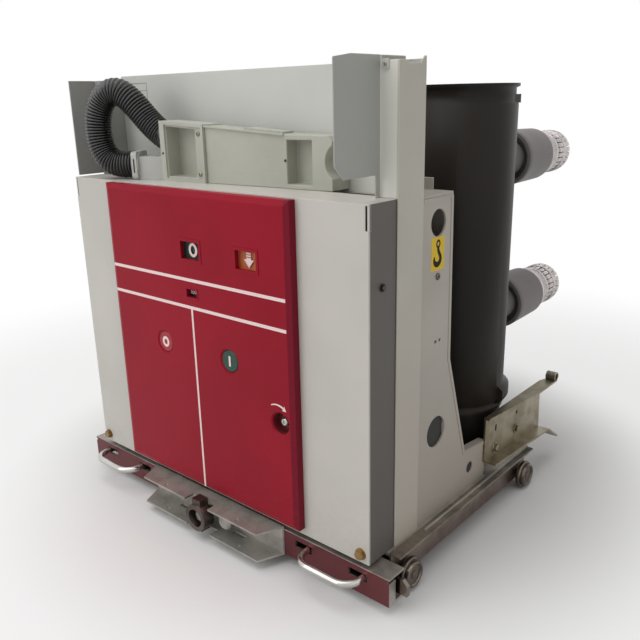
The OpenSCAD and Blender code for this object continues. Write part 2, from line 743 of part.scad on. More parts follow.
function unit(v) = v / norm(v);
function heading(p, i) = unit(p[min(i + 1, len(p) - 1)] - p[max(i - 1, 0)]);
function ring(c, t, r, n) = let (u = unit(cross(t, [0, 1, 0])), w = cross(t, u))
    [for (k = [0 : n - 1]) c + r * (cos(360 * k / n) * u + sin(360 * k / n) * w)];

// a round tube of n sides along the points p, its ends square to their seats
module sweep(p, r, n) {
    m = len(p);
    rings = [for (i = [0 : m - 1]) each ring(p[i], heading(p, i), r, n)];
    sides = [for (i = [0 : m - 2], k = [0 : n - 1]) each
        let (a = i * n + k, b = i * n + (k + 1) % n) [[b, a, a + n], [b, a + n, b + n]]];
    first = [for (k = [0 : n - 1]) k];
    last = [for (k = [n - 1 : -1 : 0]) (m - 1) * n + k];
    polyhedron(points = rings, faces = concat(sides, [first, last]));
}

// a gland box with a round collar for the hose
module hose_elbow() {
    color("WhiteSmoke") placed() translate([elbow_at[0], elbow_at[1], housing_h]) rotate([0, 0, elbow_turn]) {
        block(-elbow_in + 8, 20, -15, 15, 0, elbow_z + 12);
        rod_x(0, elbow_z, hose_r, -elbow_in, -elbow_in + 9);
    }
}

module hose() {
    color("DimGray") placed() sweep(hose_route, hose_r, 12);
}

truck_deck();
truck_rail_left();
truck_rail_right();
nut_plate();
rear_crossbar();
wheel_front_left();
wheel_front_right();
wheel_rear_left();
wheel_rear_right();
racking_beam();
crank_channel();
crank_ring();
guide_bar_left();
guide_bar_right();
racking_screw();
handle_left();
handle_right();
housing_front();
front_cover();
state_indicator();
spring_indicator();
operation_counter();
open_button();
close_button();
charging_shaft();
earth_bolts();
upright_left();
upright_right();
partition_plate();
frame_side_left();
frame_side_right();
back_plate();
top_plate();
pole_left();
pole_centre();
pole_right();
arm_upper_left();
arm_upper_centre();
arm_upper_right();
arm_lower_left();
arm_lower_centre();
arm_lower_right();
tulip_upper_left();
tulip_upper_centre();
tulip_upper_right();
tulip_lower_left();
tulip_lower_centre();
tulip_lower_right();
shutter_rail_left();
shutter_rail_right();
plug_socket();
plug_cover();
plug_grip();
hose_elbow();
hose();
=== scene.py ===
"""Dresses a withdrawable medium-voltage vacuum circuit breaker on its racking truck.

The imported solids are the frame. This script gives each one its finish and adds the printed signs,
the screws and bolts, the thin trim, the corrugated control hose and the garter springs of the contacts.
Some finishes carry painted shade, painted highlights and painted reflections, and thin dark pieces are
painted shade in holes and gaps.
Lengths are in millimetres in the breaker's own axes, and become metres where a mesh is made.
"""

from __future__ import annotations

import json
import logging
import math
from collections.abc import Iterable, Sequence
from dataclasses import dataclass, field
from enum import Enum
from typing import Any, Union

import bmesh
import bpy
from mathutils import Matrix, Vector

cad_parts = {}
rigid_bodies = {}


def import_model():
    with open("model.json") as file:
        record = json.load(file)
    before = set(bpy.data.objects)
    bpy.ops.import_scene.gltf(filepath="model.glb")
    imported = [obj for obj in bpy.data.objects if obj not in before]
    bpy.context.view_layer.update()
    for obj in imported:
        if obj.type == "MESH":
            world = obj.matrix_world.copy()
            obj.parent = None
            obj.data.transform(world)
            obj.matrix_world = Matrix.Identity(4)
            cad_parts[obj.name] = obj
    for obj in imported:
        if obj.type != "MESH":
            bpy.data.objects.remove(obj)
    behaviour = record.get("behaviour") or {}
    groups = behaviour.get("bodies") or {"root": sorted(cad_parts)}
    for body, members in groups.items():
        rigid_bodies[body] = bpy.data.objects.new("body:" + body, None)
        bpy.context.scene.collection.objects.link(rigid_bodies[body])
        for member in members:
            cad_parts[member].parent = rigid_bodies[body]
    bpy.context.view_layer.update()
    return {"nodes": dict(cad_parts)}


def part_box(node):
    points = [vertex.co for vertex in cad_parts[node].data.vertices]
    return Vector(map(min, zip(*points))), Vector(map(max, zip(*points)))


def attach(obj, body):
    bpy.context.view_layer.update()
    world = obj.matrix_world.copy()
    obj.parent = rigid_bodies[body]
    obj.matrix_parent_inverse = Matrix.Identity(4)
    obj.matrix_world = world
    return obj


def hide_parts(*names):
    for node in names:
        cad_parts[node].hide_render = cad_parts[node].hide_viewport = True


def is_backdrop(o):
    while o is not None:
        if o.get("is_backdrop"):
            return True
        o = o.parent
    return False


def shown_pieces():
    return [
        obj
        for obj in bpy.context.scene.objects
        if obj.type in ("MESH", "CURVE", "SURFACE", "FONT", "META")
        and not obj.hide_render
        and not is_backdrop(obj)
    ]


LOG = logging.getLogger("breaker")
MM = 0.001
FAR = 9.0  # metres, beyond any piece
MIDDLE = 0.5  # the mean of a noise
LEAST_R = 0.02  # millimetres, the radius that stands for a turned piece's axis
WELD = 0.005  # millimetres, closer points are one
LEVEL = 1e-6  # millimetres, points closer in height are level
FONT = 1.4  # a font's size over the height of its digits

Colour = tuple[float, float, float]
Point2 = tuple[float, float]
Point3 = tuple[float, float, float]
Number = Union[float, "Signal"]

WHITE: Colour = (1.0, 1.0, 1.0)


def srgb(red: int, green: int, blue: int) -> Colour:
    """Turns a screen colour into the linear values that a shader takes.

    Args:
        red: Red from 0 to 255.
        green: Green from 0 to 255.
        blue: Blue from 0 to 255.

    Returns:
        The same colour in linear light.
    """
    def linear(value: int) -> float:
        """Gives one channel in linear light."""
        share = value / 255
        return share / 12.92 if share <= 0.04045 else ((share + 0.055) / 1.055) ** 2.4

    return linear(red), linear(green), linear(blue)


class Signal:
    """A shader number, which Python's operators turn into Math nodes."""

    def __init__(self, graph: Wiring, socket: bpy.types.NodeSocket) -> None:
        """Wraps an output socket of a node tree."""
        self.graph = graph
        self.socket = socket

    def _math(self, operation: str, first: Number, second: Number) -> Signal:
        """Adds a Math node for two numbers or signals."""
        made = self.graph.node("ShaderNodeMath", {"operation": operation}, {0: first, 1: second})
        return Signal(self.graph, made.outputs[0])

    def __add__(self, other: Number) -> Signal:
        """Gives self + other."""
        return self._math("ADD", self, other)

    def __radd__(self, other: Number) -> Signal:
        """Gives other + self."""
        return self._math("ADD", other, self)

    def __sub__(self, other: Number) -> Signal:
        """Gives self - other."""
        return self._math("SUBTRACT", self, other)

    def __rsub__(self, other: Number) -> Signal:
        """Gives other - self."""
        return self._math("SUBTRACT", other, self)

    def __mul__(self, other: Number) -> Signal:
        """Gives self * other."""
        return self._math("MULTIPLY", self, other)

    def __rmul__(self, other: Number) -> Signal:
        """Gives other * self."""
        return self._math("MULTIPLY", other, self)

    def size(self) -> Signal:
        """Gives self without its sign."""
        return self._math("ABSOLUTE", self, 0.0)

    def or_else(self, other: Number) -> Signal:
        """Gives the larger of self and other."""
        return self._math("MAXIMUM", self, other)

    def between(self, low: float, high: float) -> Signal:
        """Rises smoothly from 0 at low to 1 at high.

        Args:
            low: The value that gives 0.
            high: The value that gives 1.

        Returns:
            The smooth step.
        """
        made = self.graph.node(
            "ShaderNodeMapRange",
            {"interpolation_type": "SMOOTHSTEP"},
            {"Value": self, "From Min": low, "From Max": high},
        )
        return Signal(self.graph, made.outputs[0])


class Wiring:
    """A node tree, and the one method that adds its nodes."""

    def __init__(self, tree: bpy.types.NodeTree) -> None:
        """Empties the tree."""
        self.tree = tree
        self.tree.nodes.clear()

    def node(
        self,
        kind: str,
        settings: dict[str, Any] | None = None,
        inputs: dict[str | int, Any] | None = None,
    ) -> bpy.types.Node:
        """Makes a node: its settings first, then the values or links of its sockets.

        Args:
            kind: The node's type name.
            settings: Properties of the node.
            inputs: Socket names or numbers, with a value, a socket or a Signal for each.

        Returns:
            The new node.
        """
        made = self.tree.nodes.new(kind)
        for key, value in (settings or {}).items():
            setattr(made, key, value)
        for key, value in (inputs or {}).items():
            self.feed(made.inputs[key], value)
        return made

    def feed(self, socket: bpy.types.NodeSocket, value: Any) -> None:
        """Sets a socket, or links it where the value is a socket or a Signal.

        Args:
            socket: The node's input.
            value: A number, a colour, a vector, a socket or a Signal.
        """
        if isinstance(value, (Signal, bpy.types.NodeSocket)):
            self.tree.links.new(value.socket if isinstance(value, Signal) else value, socket)
        else:
            opaque = isinstance(value, tuple) and socket.type == "RGBA"
            socket.default_value = (*value, 1.0) if opaque else value

    def backdrop_rays(self) -> Signal:
        """Tells the rays that show the backdrop from those that light the breaker.

        Returns:
            1 for a ray from the camera, off a mirror or through glass, and 0 for the light's own.
        """
        path = self.node("ShaderNodeLightPath").outputs
        seen = Signal(self, path["Is Camera Ray"])
        mirrored = Signal(self, path["Is Glossy Ray"])
        through = Signal(self, path["Is Transmission Ray"])
        return seen.or_else(mirrored).or_else(through)


class Graph(Wiring):
    """The node tree of one material, with its shader and the object's own coordinates."""

    def __init__(self, name: str) -> None:
        """Starts a tree with a Principled shader on its output.

        Args:
            name: The material's name.
        """
        self.material = bpy.data.materials.new(name)
        self.material.use_nodes = True
        super().__init__(self.material.node_tree)
        self.shader = self.node("ShaderNodeBsdfPrincipled")
        self.out = self.node("ShaderNodeOutputMaterial", {}, {"Surface": self.shader.outputs[0]})
        self.place = self.node("ShaderNodeTexCoord").outputs["Object"]

    def noise(
        self,
        scale: float,
        detail: float = 2.0,
        stretch: Point3 = (1.0, 1.0, 1.0),
        roughness: float = 0.5,
    ) -> Signal:
        """Gives a noise over the surface, from 0 to 1.

        Args:
            scale: Features per metre, more or less.
            detail: Octaves.
            stretch: A factor on each axis, so that the grain runs along the smallest.
            roughness: How strong the finer octaves are.

        Returns:
            The noise's value.
        """
        where = self.node("ShaderNodeMapping", {}, {"Vector": self.place, "Scale": stretch})
        inputs = {"Vector": where.outputs[0], "Scale": scale, "Detail": detail, "Roughness": roughness}
        return Signal(self, self.node("ShaderNodeTexNoise", {}, inputs).outputs[0])

    def cells(self, scale: float) -> Signal:
        """Gives the distance to the nearest of many scattered points.

        Args:
            scale: Points per metre, more or less.

        Returns:
            The distance, 0 at a point.
        """
        inputs = {"Vector": self.place, "Scale": scale}
        return Signal(self, self.node("ShaderNodeTexVoronoi", {}, inputs).outputs["Distance"])

    def along(self) -> tuple[Signal, Signal, Signal]:
        """Gives the place on the three axes, in metres."""
        parts = self.node("ShaderNodeSeparateXYZ", {}, {0: self.place}).outputs
        return Signal(self, parts[0]), Signal(self, parts[1]), Signal(self, parts[2])

    def mix(self, share: Number, first: Any, second: Any) -> bpy.types.NodeSocket:
        """Mixes two colours.

        Args:
            share: 0 for the first, 1 for the second.
            first: A colour or a colour socket.
            second: A colour or a colour socket.

        Returns:
            The mixed colour's socket.
        """
        return self.node("ShaderNodeMix", {"data_type": "RGBA"}, {0: share, 6: first, 7: second}).outputs[2]

    def dress(self, **inputs: Any) -> None:
        """Sets or links the shader's sockets, spelled with _ for a space."""
        for key, value in inputs.items():
            self.feed(self.shader.inputs[key.replace("_", " ")], value)

    def bump(self, height: Signal, depth: float, strength: float = 1.0) -> None:
        """Raises the surface by a signal.

        Args:
            height: The relief, about 0 to 1.
            depth: The relief's depth in millimetres.
            strength: How much of it shows.
        """
        made = self.node(
            "ShaderNodeBump", {}, {"Strength": strength, "Distance": depth * MM, "Height": height}
        )
        self.tree.links.new(made.outputs[0], self.shader.inputs["Normal"])


@dataclass(frozen=True)
class Patch:
    """A part of a surface between two planes on each axis, in metres, repainted in another tone as painted
    shade, a painted highlight or a painted reflection.
    """

    colour: Colour
    x: Point2 = (-FAR, FAR)
    y: Point2 = (-FAR, FAR)
    z: Point2 = (-FAR, FAR)
    soft: float = 0.0006
    both_sides: bool = False
    share: float = 1.0

    def mask(self, graph: Graph) -> Signal:
        """Gives 1 inside the patch and 0 outside it.

        Args:
            graph: The material's tree.

        Returns:
            The mask.
        """
        places = list(graph.along())
        if self.both_sides:
            places[0] = places[0].size()
        inside: Number = self.share
        for where, (low, high) in zip(places, (self.x, self.y, self.z)):
            if low > -FAR:
                inside = where.between(low, low + self.soft) * inside
            if high < FAR:
                inside = (1 - where.between(high - self.soft, high)) * inside
        return inside


@dataclass(frozen=True)
class Enamel:
    """Stoved enamel or powder coat on sheet steel, with orange peel and a little dust low down."""

    name: str
    colour: Colour
    cloud: Colour
    painted_light_patches: tuple[Patch, ...] = ()
    roughness: float = 0.42
    gloss: float = 0.35
    peel: float = 0.12
    peel_scale: float = 420.0
    dust: Colour = srgb(150, 143, 134)
    dust_share: float = 0.18
    dust_low: float = 0.02
    dust_top: float = 0.2
    cloud_scale: float = 7.0
    cloud_edges: Point2 = (0.32, 0.7)
    cloud_rough: float = 0.12
    speck_scale: float = 150.0
    speck_edges: Point2 = (0.4, 0.75)
    speck_relief: float = 0.15
    dust_rough: float = 0.5
    peel_rough: float = 0.06

    def build(self) -> bpy.types.Material:
        """Makes the material.

        Returns:
            The material, with its nodes.
        """
        graph = Graph(self.name)
        cloud = graph.noise(self.cloud_scale, 3.0)
        peel = graph.noise(self.peel_scale, 1.5)
        speck = graph.noise(self.speck_scale, 4.0, roughness=0.7)
        low = 1 - graph.along()[2].between(self.dust_low, self.dust_top)
        dirt = low * speck.between(*self.speck_edges) * self.dust_share
        paint = graph.mix(cloud.between(*self.cloud_edges), self.colour, self.cloud)
        # painted light: each patch repaints a part of the surface as shade, highlight or reflection
        for patch in self.painted_light_patches:
            paint = graph.mix(patch.mask(graph), paint, patch.colour)
        graph.dress(
            Base_Color=graph.mix(dirt, paint, self.dust),
            Roughness=self.roughness
            + (cloud - MIDDLE) * self.cloud_rough
            + dirt * self.dust_rough
            + (peel - MIDDLE) * self.peel_rough,
            Specular_IOR_Level=self.gloss,
        )
        graph.bump(peel + speck * self.speck_relief, self.peel)
        return graph.material


@dataclass(frozen=True)
class Plating:
    """Zinc or chrome on steel: cloudy, faintly brushed and finger-marked."""

    name: str
    colour: Colour
    tint: Colour
    painted_light_patches: tuple[Patch, ...] = ()
    roughness: float = 0.34
    metal: float = 1.0
    brush: Point3 = (1.0, 60.0, 60.0)
    brush_depth: float = 0.05
    brush_scale: float = 14.0
    brush_rough: float = 0.16
    cloud_scale: float = 28.0
    cloud_edges: Point2 = (0.35, 0.68)
    cloud_rough: float = 0.18
    smear_scale: float = 9.0
    smear_edges: Point2 = (0.5, 0.8)
    smear_rough: float = 0.1

    def build(self) -> bpy.types.Material:
        """Makes the material.

        Returns:
            The material, with its nodes.
        """
        graph = Graph(self.name)
        cloud = graph.noise(self.cloud_scale, 4.0, roughness=0.6)
        brush = graph.noise(self.brush_scale, 3.0, self.brush)
        smear = graph.noise(self.smear_scale, 2.0)
        coat = graph.mix(cloud.between(*self.cloud_edges), self.colour, self.tint)
        # painted light: each patch repaints a part of the surface as shade, highlight or reflection
        for patch in self.painted_light_patches:
            coat = graph.mix(patch.mask(graph), coat, patch.colour)
        graph.dress(
            Base_Color=coat,
            Roughness=self.roughness
            + (cloud - MIDDLE) * self.cloud_rough
            + (brush - MIDDLE) * self.brush_rough
            + smear.between(*self.smear_edges) * self.smear_rough,
            Metallic=self.metal,
        )
        graph.bump(brush, self.brush_depth, 0.5)
        return graph.material


class Lathe(Enum):
    """The axis that a turned piece was cut about, as a stretch for the tool marks."""

    ABOUT_X = (90.0, 1.0, 1.0)
    ABOUT_Y = (1.0, 90.0, 1.0)
    ABOUT_Z = (1.0, 1.0, 90.0)


@dataclass(frozen=True)
class TurnedMetal:
    """Metal off the lathe, with tool marks round its axis and a little tarnish."""

    name: str
    colour: Colour
    tarnish: Colour
    lathe: Lathe
    roughness: float = 0.28
    marks_scale: float = 22.0
    marks_rough: float = 0.25
    marks_depth: float = 0.06
    stain_scale: float = 45.0
    stain_edges: Point2 = (0.4, 0.8)
    stain_rough: float = 0.16
    tarnish_edges: Point2 = (0.45, 0.75)
    tarnish_share: float = 0.6

    def build(self) -> bpy.types.Material:
        """Makes the material.

        Returns:
            The material, with its nodes.
        """
        graph = Graph(self.name)
        marks = graph.noise(self.marks_scale, 2.0, self.lathe.value)
        stain = graph.noise(self.stain_scale, 4.0, roughness=0.65)
        dulled = stain.between(*self.tarnish_edges) * self.tarnish_share
        graph.dress(
            Base_Color=graph.mix(dulled, self.colour, self.tarnish),
            Roughness=self.roughness
            + (marks - MIDDLE) * self.marks_rough
            + stain.between(*self.stain_edges) * self.stain_rough,
            Metallic=1.0,
        )
        graph.bump(marks, self.marks_depth, 0.6)
        return graph.material


@dataclass(frozen=True)
class CastResin:
    """Cast epoxy resin: a dark satin skin with fine flow marks."""

    name: str
    colour: Colour
    bloom: Colour
    roughness: float = 0.4
    gloss: float = 0.5
    flow_scale: float = 5.0
    flow_stretch: Point3 = (1.0, 1.0, 0.35)
    flow_edges: Point2 = (0.4, 0.75)
    flow_rough: float = 0.2
    flow_relief: float = 0.6
    grain: float = 0.08
    grain_scale: float = 700.0
    grain_rough: float = 0.1

    def build(self) -> bpy.types.Material:
        """Makes the material.

        Returns:
            The material, with its nodes.
        """
        graph = Graph(self.name)
        flow = graph.noise(self.flow_scale, 4.0, self.flow_stretch)
        grain = graph.noise(self.grain_scale, 2.0)
        graph.dress(
            Base_Color=graph.mix(flow.between(*self.flow_edges), self.colour, self.bloom),
            Roughness=self.roughness
            + (flow - MIDDLE) * self.flow_rough
            + (grain - MIDDLE) * self.grain_rough,
            Specular_IOR_Level=self.gloss,
        )
        graph.bump(grain + flow * self.flow_relief, self.grain)
        return graph.material


@dataclass(frozen=True)
class Moulding:
    """Moulded plastic with a spark-eroded grain."""

    name: str
    colour: Colour
    shade: Colour
    roughness: float = 0.5
    gloss: float = 0.4
    grain: float = 0.06
    grain_scale: float = 1100.0
    grain_rough: float = 0.08
    cloud_scale: float = 16.0
    cloud_edges: Point2 = (0.35, 0.7)
    cloud_share: float = 0.7
    cloud_rough: float = 0.14
    smear_scale: float = 60.0
    smear_stretch: Point3 = (1.0, 1.0, 3.0)
    smear_edges: Point2 = (0.55, 0.8)
    smear_share: float = 0.3

    def build(self) -> bpy.types.Material:
        """Makes the material.

        Returns:
            The material, with its nodes.
        """
        graph = Graph(self.name)
        pits = graph.cells(self.grain_scale)
        cloud = graph.noise(self.cloud_scale, 3.0)
        smear = graph.noise(self.smear_scale, 3.0, self.smear_stretch)
        clouded = cloud.between(*self.cloud_edges) * self.cloud_share
        shaded = clouded + smear.between(*self.smear_edges) * self.smear_share
        graph.dress(
            Base_Color=graph.mix(shaded, self.colour, self.shade),
            Roughness=self.roughness + (cloud - MIDDLE) * self.cloud_rough + pits * self.grain_rough,
            Specular_IOR_Level=self.gloss,
        )
        graph.bump(pits, self.grain)
        return graph.material


@dataclass(frozen=True)
class Ink:
    """Screen-printed ink or a printed film, slightly uneven."""

    name: str
    colour: Colour
    thin: Colour
    roughness: float = 0.5
    gloss: float = 0.2
    cover_scale: float = 240.0
    cover_edges: Point2 = (0.56, 0.82)
    cover_rough: float = 0.15
    cover_depth: float = 0.02

    def build(self) -> bpy.types.Material:
        """Makes the material.

        Returns:
            The material, with its nodes.
        """
        graph = Graph(self.name)
        cover = graph.noise(self.cover_scale, 4.0, roughness=0.7)
        graph.dress(
            Base_Color=graph.mix(cover.between(*self.cover_edges), self.colour, self.thin),
            Roughness=self.roughness + (cover - MIDDLE) * self.cover_rough,
            Specular_IOR_Level=self.gloss,
        )
        graph.bump(cover, self.cover_depth)
        return graph.material


class Finishes(Enum):
    """The finishes of the breaker."""

    HOUSING = Enamel(
        "housing_enamel",
        srgb(203, 199, 193),
        srgb(196, 193, 187),
        # painted shade: the housing's side returns, behind the front edge, are painted darker
        (Patch(srgb(76, 71, 67), x=(0.2935, FAR), y=(-0.3085, FAR), both_sides=True),),
    )
    FRAME = Enamel(
        "frame_enamel",
        srgb(186, 181, 171),
        srgb(178, 172, 162),
        # painted reflection of a reddish floor: the frame is warmer and darker towards the bottom
        (Patch(srgb(170, 160, 150), z=(-FAR, 0.42), soft=0.4, share=0.8),),
        roughness=0.4,
    )
    UPRIGHT = Enamel(
        "upright_enamel",
        srgb(199, 196, 184),
        srgb(193, 190, 178),
        (
            # painted shade: the wing plate's face in front of the strip is painted darker
            Patch(srgb(172, 173, 168), x=(-FAR, 0.291), y=(-FAR, -0.2575), z=(0.527, FAR)),
            # painted highlight: a lighter band on the front face of the strip behind the wing
            Patch(srgb(224, 224, 217), x=(-FAR, 0.2935), y=(-0.2578, -0.2540), z=(0.52, FAR)),
            # painted reflection of a reddish floor: warmer and darker towards the bottom
            Patch(srgb(188, 178, 168), z=(-FAR, 0.5), soft=0.3, share=0.7),
        ),
        roughness=0.4,
    )
    # painted shade: a darker copy of the uprights' enamel for the left upright
    SHADED_LEFT_UPRIGHT = Enamel("left_upright_painted_shade", srgb(157, 157, 153), srgb(147, 147, 143), roughness=0.45)
    PARTITION = Enamel("partition_enamel", srgb(207, 208, 203), srgb(201, 203, 197), roughness=0.48)
    COVER = Enamel(
        "cover_enamel",
        srgb(152, 18, 40),
        srgb(143, 17, 37),
        # painted shade: darker red along the cover's right-hand edge
        (Patch(srgb(121, 22, 41), x=(0.1763, FAR)),),
        roughness=0.4,
        gloss=0.12,
        peel=0.1,
        dust_share=0.05,
    )
    ZINC = Plating("bright_zinc", srgb(178, 176, 169), srgb(150, 147, 140), roughness=0.42, metal=0.6)
    BEAM_ZINC = Plating(
        "beam_zinc",
        srgb(176, 171, 164),
        srgb(146, 138, 132),
        (
            # painted reflection of a reddish floor: the beam's front face is maroon, deepest towards the
            # bottom
            Patch(srgb(106, 53, 57), y=(-FAR, -0.3112), z=(-FAR, 0.0562), soft=0.0004),
            Patch(srgb(80, 28, 36), y=(-FAR, -0.3112), z=(-FAR, 0.05), soft=0.02),
        ),
        roughness=0.36,
        metal=0.7,
    )
    RAIL_ZINC = Plating(
        "rail_zinc",
        srgb(146, 137, 126),
        srgb(114, 104, 94),
        # painted reflection of a reddish floor: a maroon tint towards the bottom of the rails
        (Patch(srgb(98, 64, 61), z=(-FAR, 0.05), soft=0.03, share=0.5),),
        roughness=0.38,
        metal=0.8,
        brush=(60.0, 1.0, 60.0),
    )
    YELLOW_ZINC = Plating(
        "passivated_zinc", srgb(150, 143, 125), srgb(124, 114, 93), roughness=0.4, brush=(60.0, 1.0, 60.0)
    )
    RING_ZINC = Plating("ring_zinc", srgb(112, 102, 96), srgb(84, 75, 70))
    CHROME = Plating(
        "handle_chrome",
        srgb(205, 202, 198),
        srgb(180, 176, 172),
        # painted shade: the handle's ends, where they bend back into the beam, are painted darker
        (Patch(srgb(126, 116, 108), x=(0.29, FAR), both_sides=True),),
        roughness=0.2,
        brush_depth=0.02,
    )
    WHEEL = TurnedMetal("wheel_steel", srgb(108, 99, 91), srgb(68, 59, 52), Lathe.ABOUT_X)
    SHAFT = TurnedMetal("shaft_steel", srgb(190, 188, 184), srgb(140, 136, 130), Lathe.ABOUT_Y)
    SILVERED = TurnedMetal(
        "silvered_copper", srgb(188, 181, 180), srgb(128, 112, 108), Lathe.ABOUT_Y, roughness=0.3
    )
    BRASS = TurnedMetal("brass", srgb(158, 132, 88), srgb(98, 78, 52), Lathe.ABOUT_Y)
    RESIN = CastResin("pole_resin", srgb(38, 34, 31), srgb(46, 41, 37), gloss=0.14)
    SLEEVE = CastResin("sleeve_resin", srgb(126, 120, 121), srgb(112, 106, 107), roughness=0.5, gloss=0.3)
    PLUG = Moulding("plug_plastic", srgb(184, 185, 174), srgb(173, 174, 163))
    GLAND = Moulding("gland_plastic", srgb(196, 197, 193), srgb(184, 185, 181), roughness=0.42)
    HOSE = Moulding(
        "hose_plastic", srgb(26, 26, 26), srgb(34, 34, 33), roughness=0.24, gloss=0.65, grain_scale=700.0
    )
    GREEN_FLAG = Moulding("green_flag", srgb(38, 62, 54), srgb(32, 54, 47))
    ORANGE_FLAG = Moulding("orange_flag", srgb(190, 108, 66), srgb(178, 98, 60))
    COUNTER = Moulding("counter_black", srgb(34, 32, 30), srgb(44, 41, 38), roughness=0.35)
    RED_BUTTON = Moulding("red_button", srgb(160, 28, 44), srgb(150, 26, 40), roughness=0.32)
    GREEN_BUTTON = Moulding("green_button", srgb(24, 66, 52), srgb(20, 58, 46), roughness=0.32)
    WHITE_INK = Ink("white_ink", srgb(240, 219, 217), srgb(230, 190, 190))
    BLACK_INK = Ink("black_ink", srgb(30, 24, 18), srgb(44, 36, 28), gloss=0.08)
    GREY_INK = Ink("grey_ink", srgb(150, 150, 148), srgb(165, 165, 162))
    YELLOW_FILM = Ink("yellow_film", srgb(232, 196, 40), srgb(220, 182, 40), roughness=0.4)
    # painted shade: dark red for the shade inside the charging hole
    HOLE_SHADE = Moulding("hole_shade_red", srgb(104, 26, 32), srgb(88, 22, 27), roughness=0.55)
    # painted shade: near-black for the shade in the hand holes, the foot holes and the lid's rear seam
    DARK_SHADE = Moulding("dark_painted_shade", srgb(30, 29, 28), srgb(38, 37, 35), roughness=0.6)
    # blackened screws; also painted shade for the slot in the gland's clip
    DARK_SCREW_AND_SHADE = TurnedMetal("blackened_screw_and_slot_shade", srgb(70, 66, 62), srgb(44, 40, 38), Lathe.ABOUT_Z)


class Workshop:
    """Keeps one material for each finish and makes the scene's own pieces."""

    def __init__(self) -> None:
        """Starts with no materials made."""
        self.made: dict[Finishes, bpy.types.Material] = {}

    def material(self, finish: Finishes) -> bpy.types.Material:
        """Gives a finish's material, made on first use.

        Args:
            finish: The finish.

        Returns:
            Its material.
        """
        if finish not in self.made:
            self.made[finish] = finish.value.build()
        return self.made[finish]

    def piece(
        self,
        name: str,
        shape: Shape,
        seat: Matrix,
        finish: Finishes,
        body: str = "truck",
        slot: str | None = None,
        smooth: float = 35.0,
    ) -> bpy.types.Object:
        """Turns a shape into a piece that rides on a body.

        Args:
            name: The piece's name.
            shape: Its mesh in millimetres, which is used up.
            seat: The place of the shape's axes, in metres.
            finish: Its finish.
            body: The body it rides on.
            slot: Not used.
            smooth: Edges flatter than this many degrees are shaded smooth.

        Returns:
            The piece.
        """
        mesh = shape.finished(name, seat, smooth)
        mesh.materials.append(self.material(finish))
        made = bpy.data.objects.new(name, mesh)
        bpy.context.scene.collection.objects.link(made)
        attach(made, body)
        LOG.info("%s rides on %s, %d faces", name, body, len(mesh.polygons))
        return made


